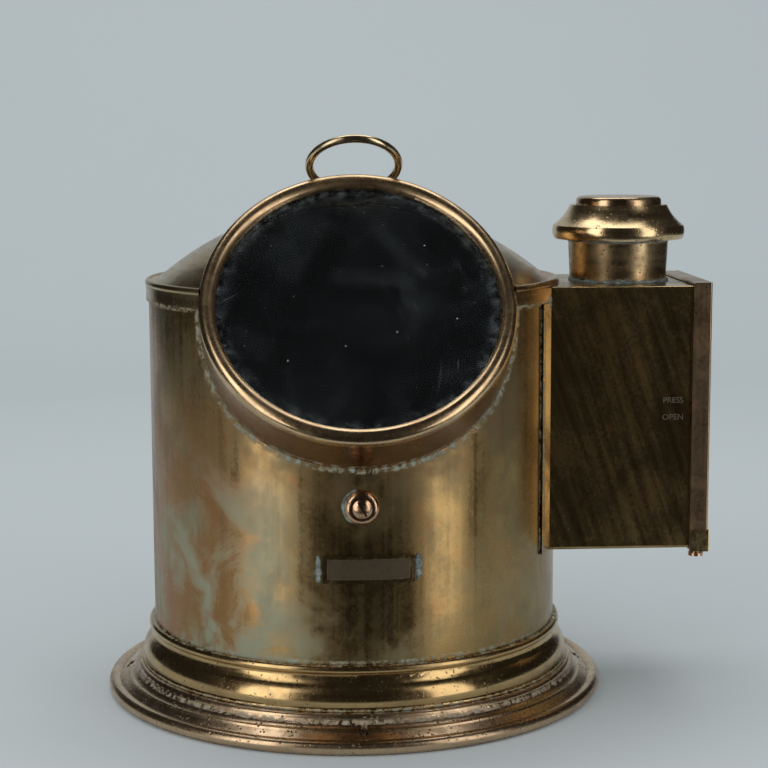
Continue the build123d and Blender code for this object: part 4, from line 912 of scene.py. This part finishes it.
# %% Backdrop
def backdrop():
    """Floor and wall in one sweep, open towards the camera."""
    front_edge = -0.17
    sweep_start = 0.9
    sweep_radius = 0.7
    wall_top = 2.4
    mesh = bmesh.new()
    profile = [(front_edge, 0.0), (0.0, 0.0), (sweep_start, 0.0)]
    for step in range(1, 13):
        turn = math.radians(90 * step / 12)
        profile.append((sweep_start + sweep_radius * math.sin(turn),
                        sweep_radius - sweep_radius * math.cos(turn)))
    profile.append((sweep_start + sweep_radius, wall_top))
    rows = [[mesh.verts.new((x, y, z)) for y, z in profile] for x in (-0.85, -0.3, 0.3, 0.85)]
    for left, right in zip(rows, rows[1:]):
        for place in range(len(profile) - 1):
            mesh.faces.new((left[place], left[place + 1], right[place + 1], right[place]))
    for face in mesh.faces:
        face.smooth = True
    data = bpy.data.meshes.new("backdrop")
    mesh.to_mesh(data)
    mesh.free()
    paint = Paint("backdrop_paper")
    shade = paint.noise(400.0, 2.0)
    data.materials.append(paint.finish(paint.shader(
        Base_Color=paint.mix((0.47, 0.505, 0.515), (0.49, 0.525, 0.535), shade), Roughness=0.7,
        Specular_IOR_Level=0.25)))
    sheet = bpy.data.objects.new("backdrop", data)
    bpy.context.scene.collection.objects.link(sheet)


backdrop()
print("backdrop: 1 sweep, 1.7 m wide")


# %% [markdown]
# ## Lights
# Area lights are sized like real softboxes. Their shape matters more than their strength, because
# polished metal shows each one as a band.

# %% Lights
def softbox(name, azimuth, distance, low, high, width, radiance, tint=(1.0, 1.0, 1.0)):
    """A rectangular light that faces the object, azimuth degrees from straight front towards +X."""
    turn = math.radians(azimuth)
    place = Vector((distance * math.sin(turn), -distance * math.cos(turn), (low + high) / 2))
    light = bpy.data.lights.new(name, "AREA")
    light.shape = "RECTANGLE"
    light.size = width
    light.size_y = high - low
    light.energy = radiance * math.pi * width * (high - low)
    light.color = tint
    lamp = bpy.data.objects.new(name, light)
    aim = Vector((0, 0, (low + high) / 2)) - place
    lamp.matrix_world = Matrix.Translation(place) @ aim.to_track_quat("-Z", "Y").to_matrix().to_4x4()
    bpy.context.scene.collection.objects.link(lamp)
    return lamp


softbox("softbox_left", -49, 1.15, -0.30, 1.15, 0.52, 2.4, (1.0, 0.98, 0.95))
softbox("softbox_right", 48, 1.15, -0.30, 1.15, 0.44, 2.0, (1.0, 0.98, 0.95))
overhead = softbox("overhead", 180, 0.45, 1.25, 2.05, 1.3, 2.2)
overhead.matrix_world = Matrix.Translation((0, 0.45, 1.5))

lights = [item.name for item in bpy.context.scene.objects if item.type == "LIGHT"]
print("lights:", lights)

# %% [markdown]
# ## The room
# The world lights the sheet evenly, but a pale world would wash out the metal and the window. A Light
# Path node gives reflections and the view through glass a dark room instead.

# %% World
world = bpy.data.worlds.new("studio")
bpy.context.scene.world = world
world.use_nodes = True
tree = world.node_tree
tree.nodes.clear()
path = tree.nodes.new("ShaderNodeLightPath")
fill = tree.nodes.new("ShaderNodeBackground")
fill.inputs["Color"].default_value = (0.92, 0.97, 1.0, 1.0)
fill.inputs["Strength"].default_value = 0.75
dark = tree.nodes.new("ShaderNodeBackground")
dark.inputs["Color"].default_value = (0.020, 0.019, 0.018, 1.0)
dark.inputs["Strength"].default_value = 1.0
choice = tree.nodes.new("ShaderNodeMixShader")
out = tree.nodes.new("ShaderNodeOutputWorld")
either = tree.nodes.new("ShaderNodeMath")
either.operation = "MAXIMUM"
tree.links.new(path.outputs["Is Glossy Ray"], either.inputs[0])
tree.links.new(path.outputs["Is Transmission Ray"], either.inputs[1])
tree.links.new(either.outputs[0], choice.inputs[0])
tree.links.new(fill.outputs[0], choice.inputs[1])
tree.links.new(dark.outputs[0], choice.inputs[2])
tree.links.new(choice.outputs[0], out.inputs[0])
print("world: pale for plain surfaces, dark in reflections and through glass")

# %% [markdown]
# ## Camera
# A long lens from a little above, turned a few degrees towards the box. The view transform is
# Standard, so that colours leave as they were set.

# %% Camera
view = bpy.data.cameras.new("camera")
view.sensor_width = 36.0
view.lens = 86.31
camera = bpy.data.objects.new("camera", view)
bpy.context.scene.collection.objects.link(camera)
heading = math.radians(-3.096)
pitch = math.radians(90 - 7.895)
roll = math.radians(-0.212)
camera.matrix_world = (Matrix.Translation((-0.02774, -0.74923, 0.22765)) @ Matrix.Rotation(heading, 4, "Z")
                       @ Matrix.Rotation(pitch, 4, "X") @ Matrix.Rotation(roll, 4, "Z"))
bpy.context.scene.camera = camera
bpy.context.scene.view_settings.view_transform = "Standard"
print("camera at", [round(v, 4) for v in camera.matrix_world.translation])

# %% [markdown]
# ## Update
# The view layer is brought up to date.

# %% Update
bpy.context.view_layer.update()
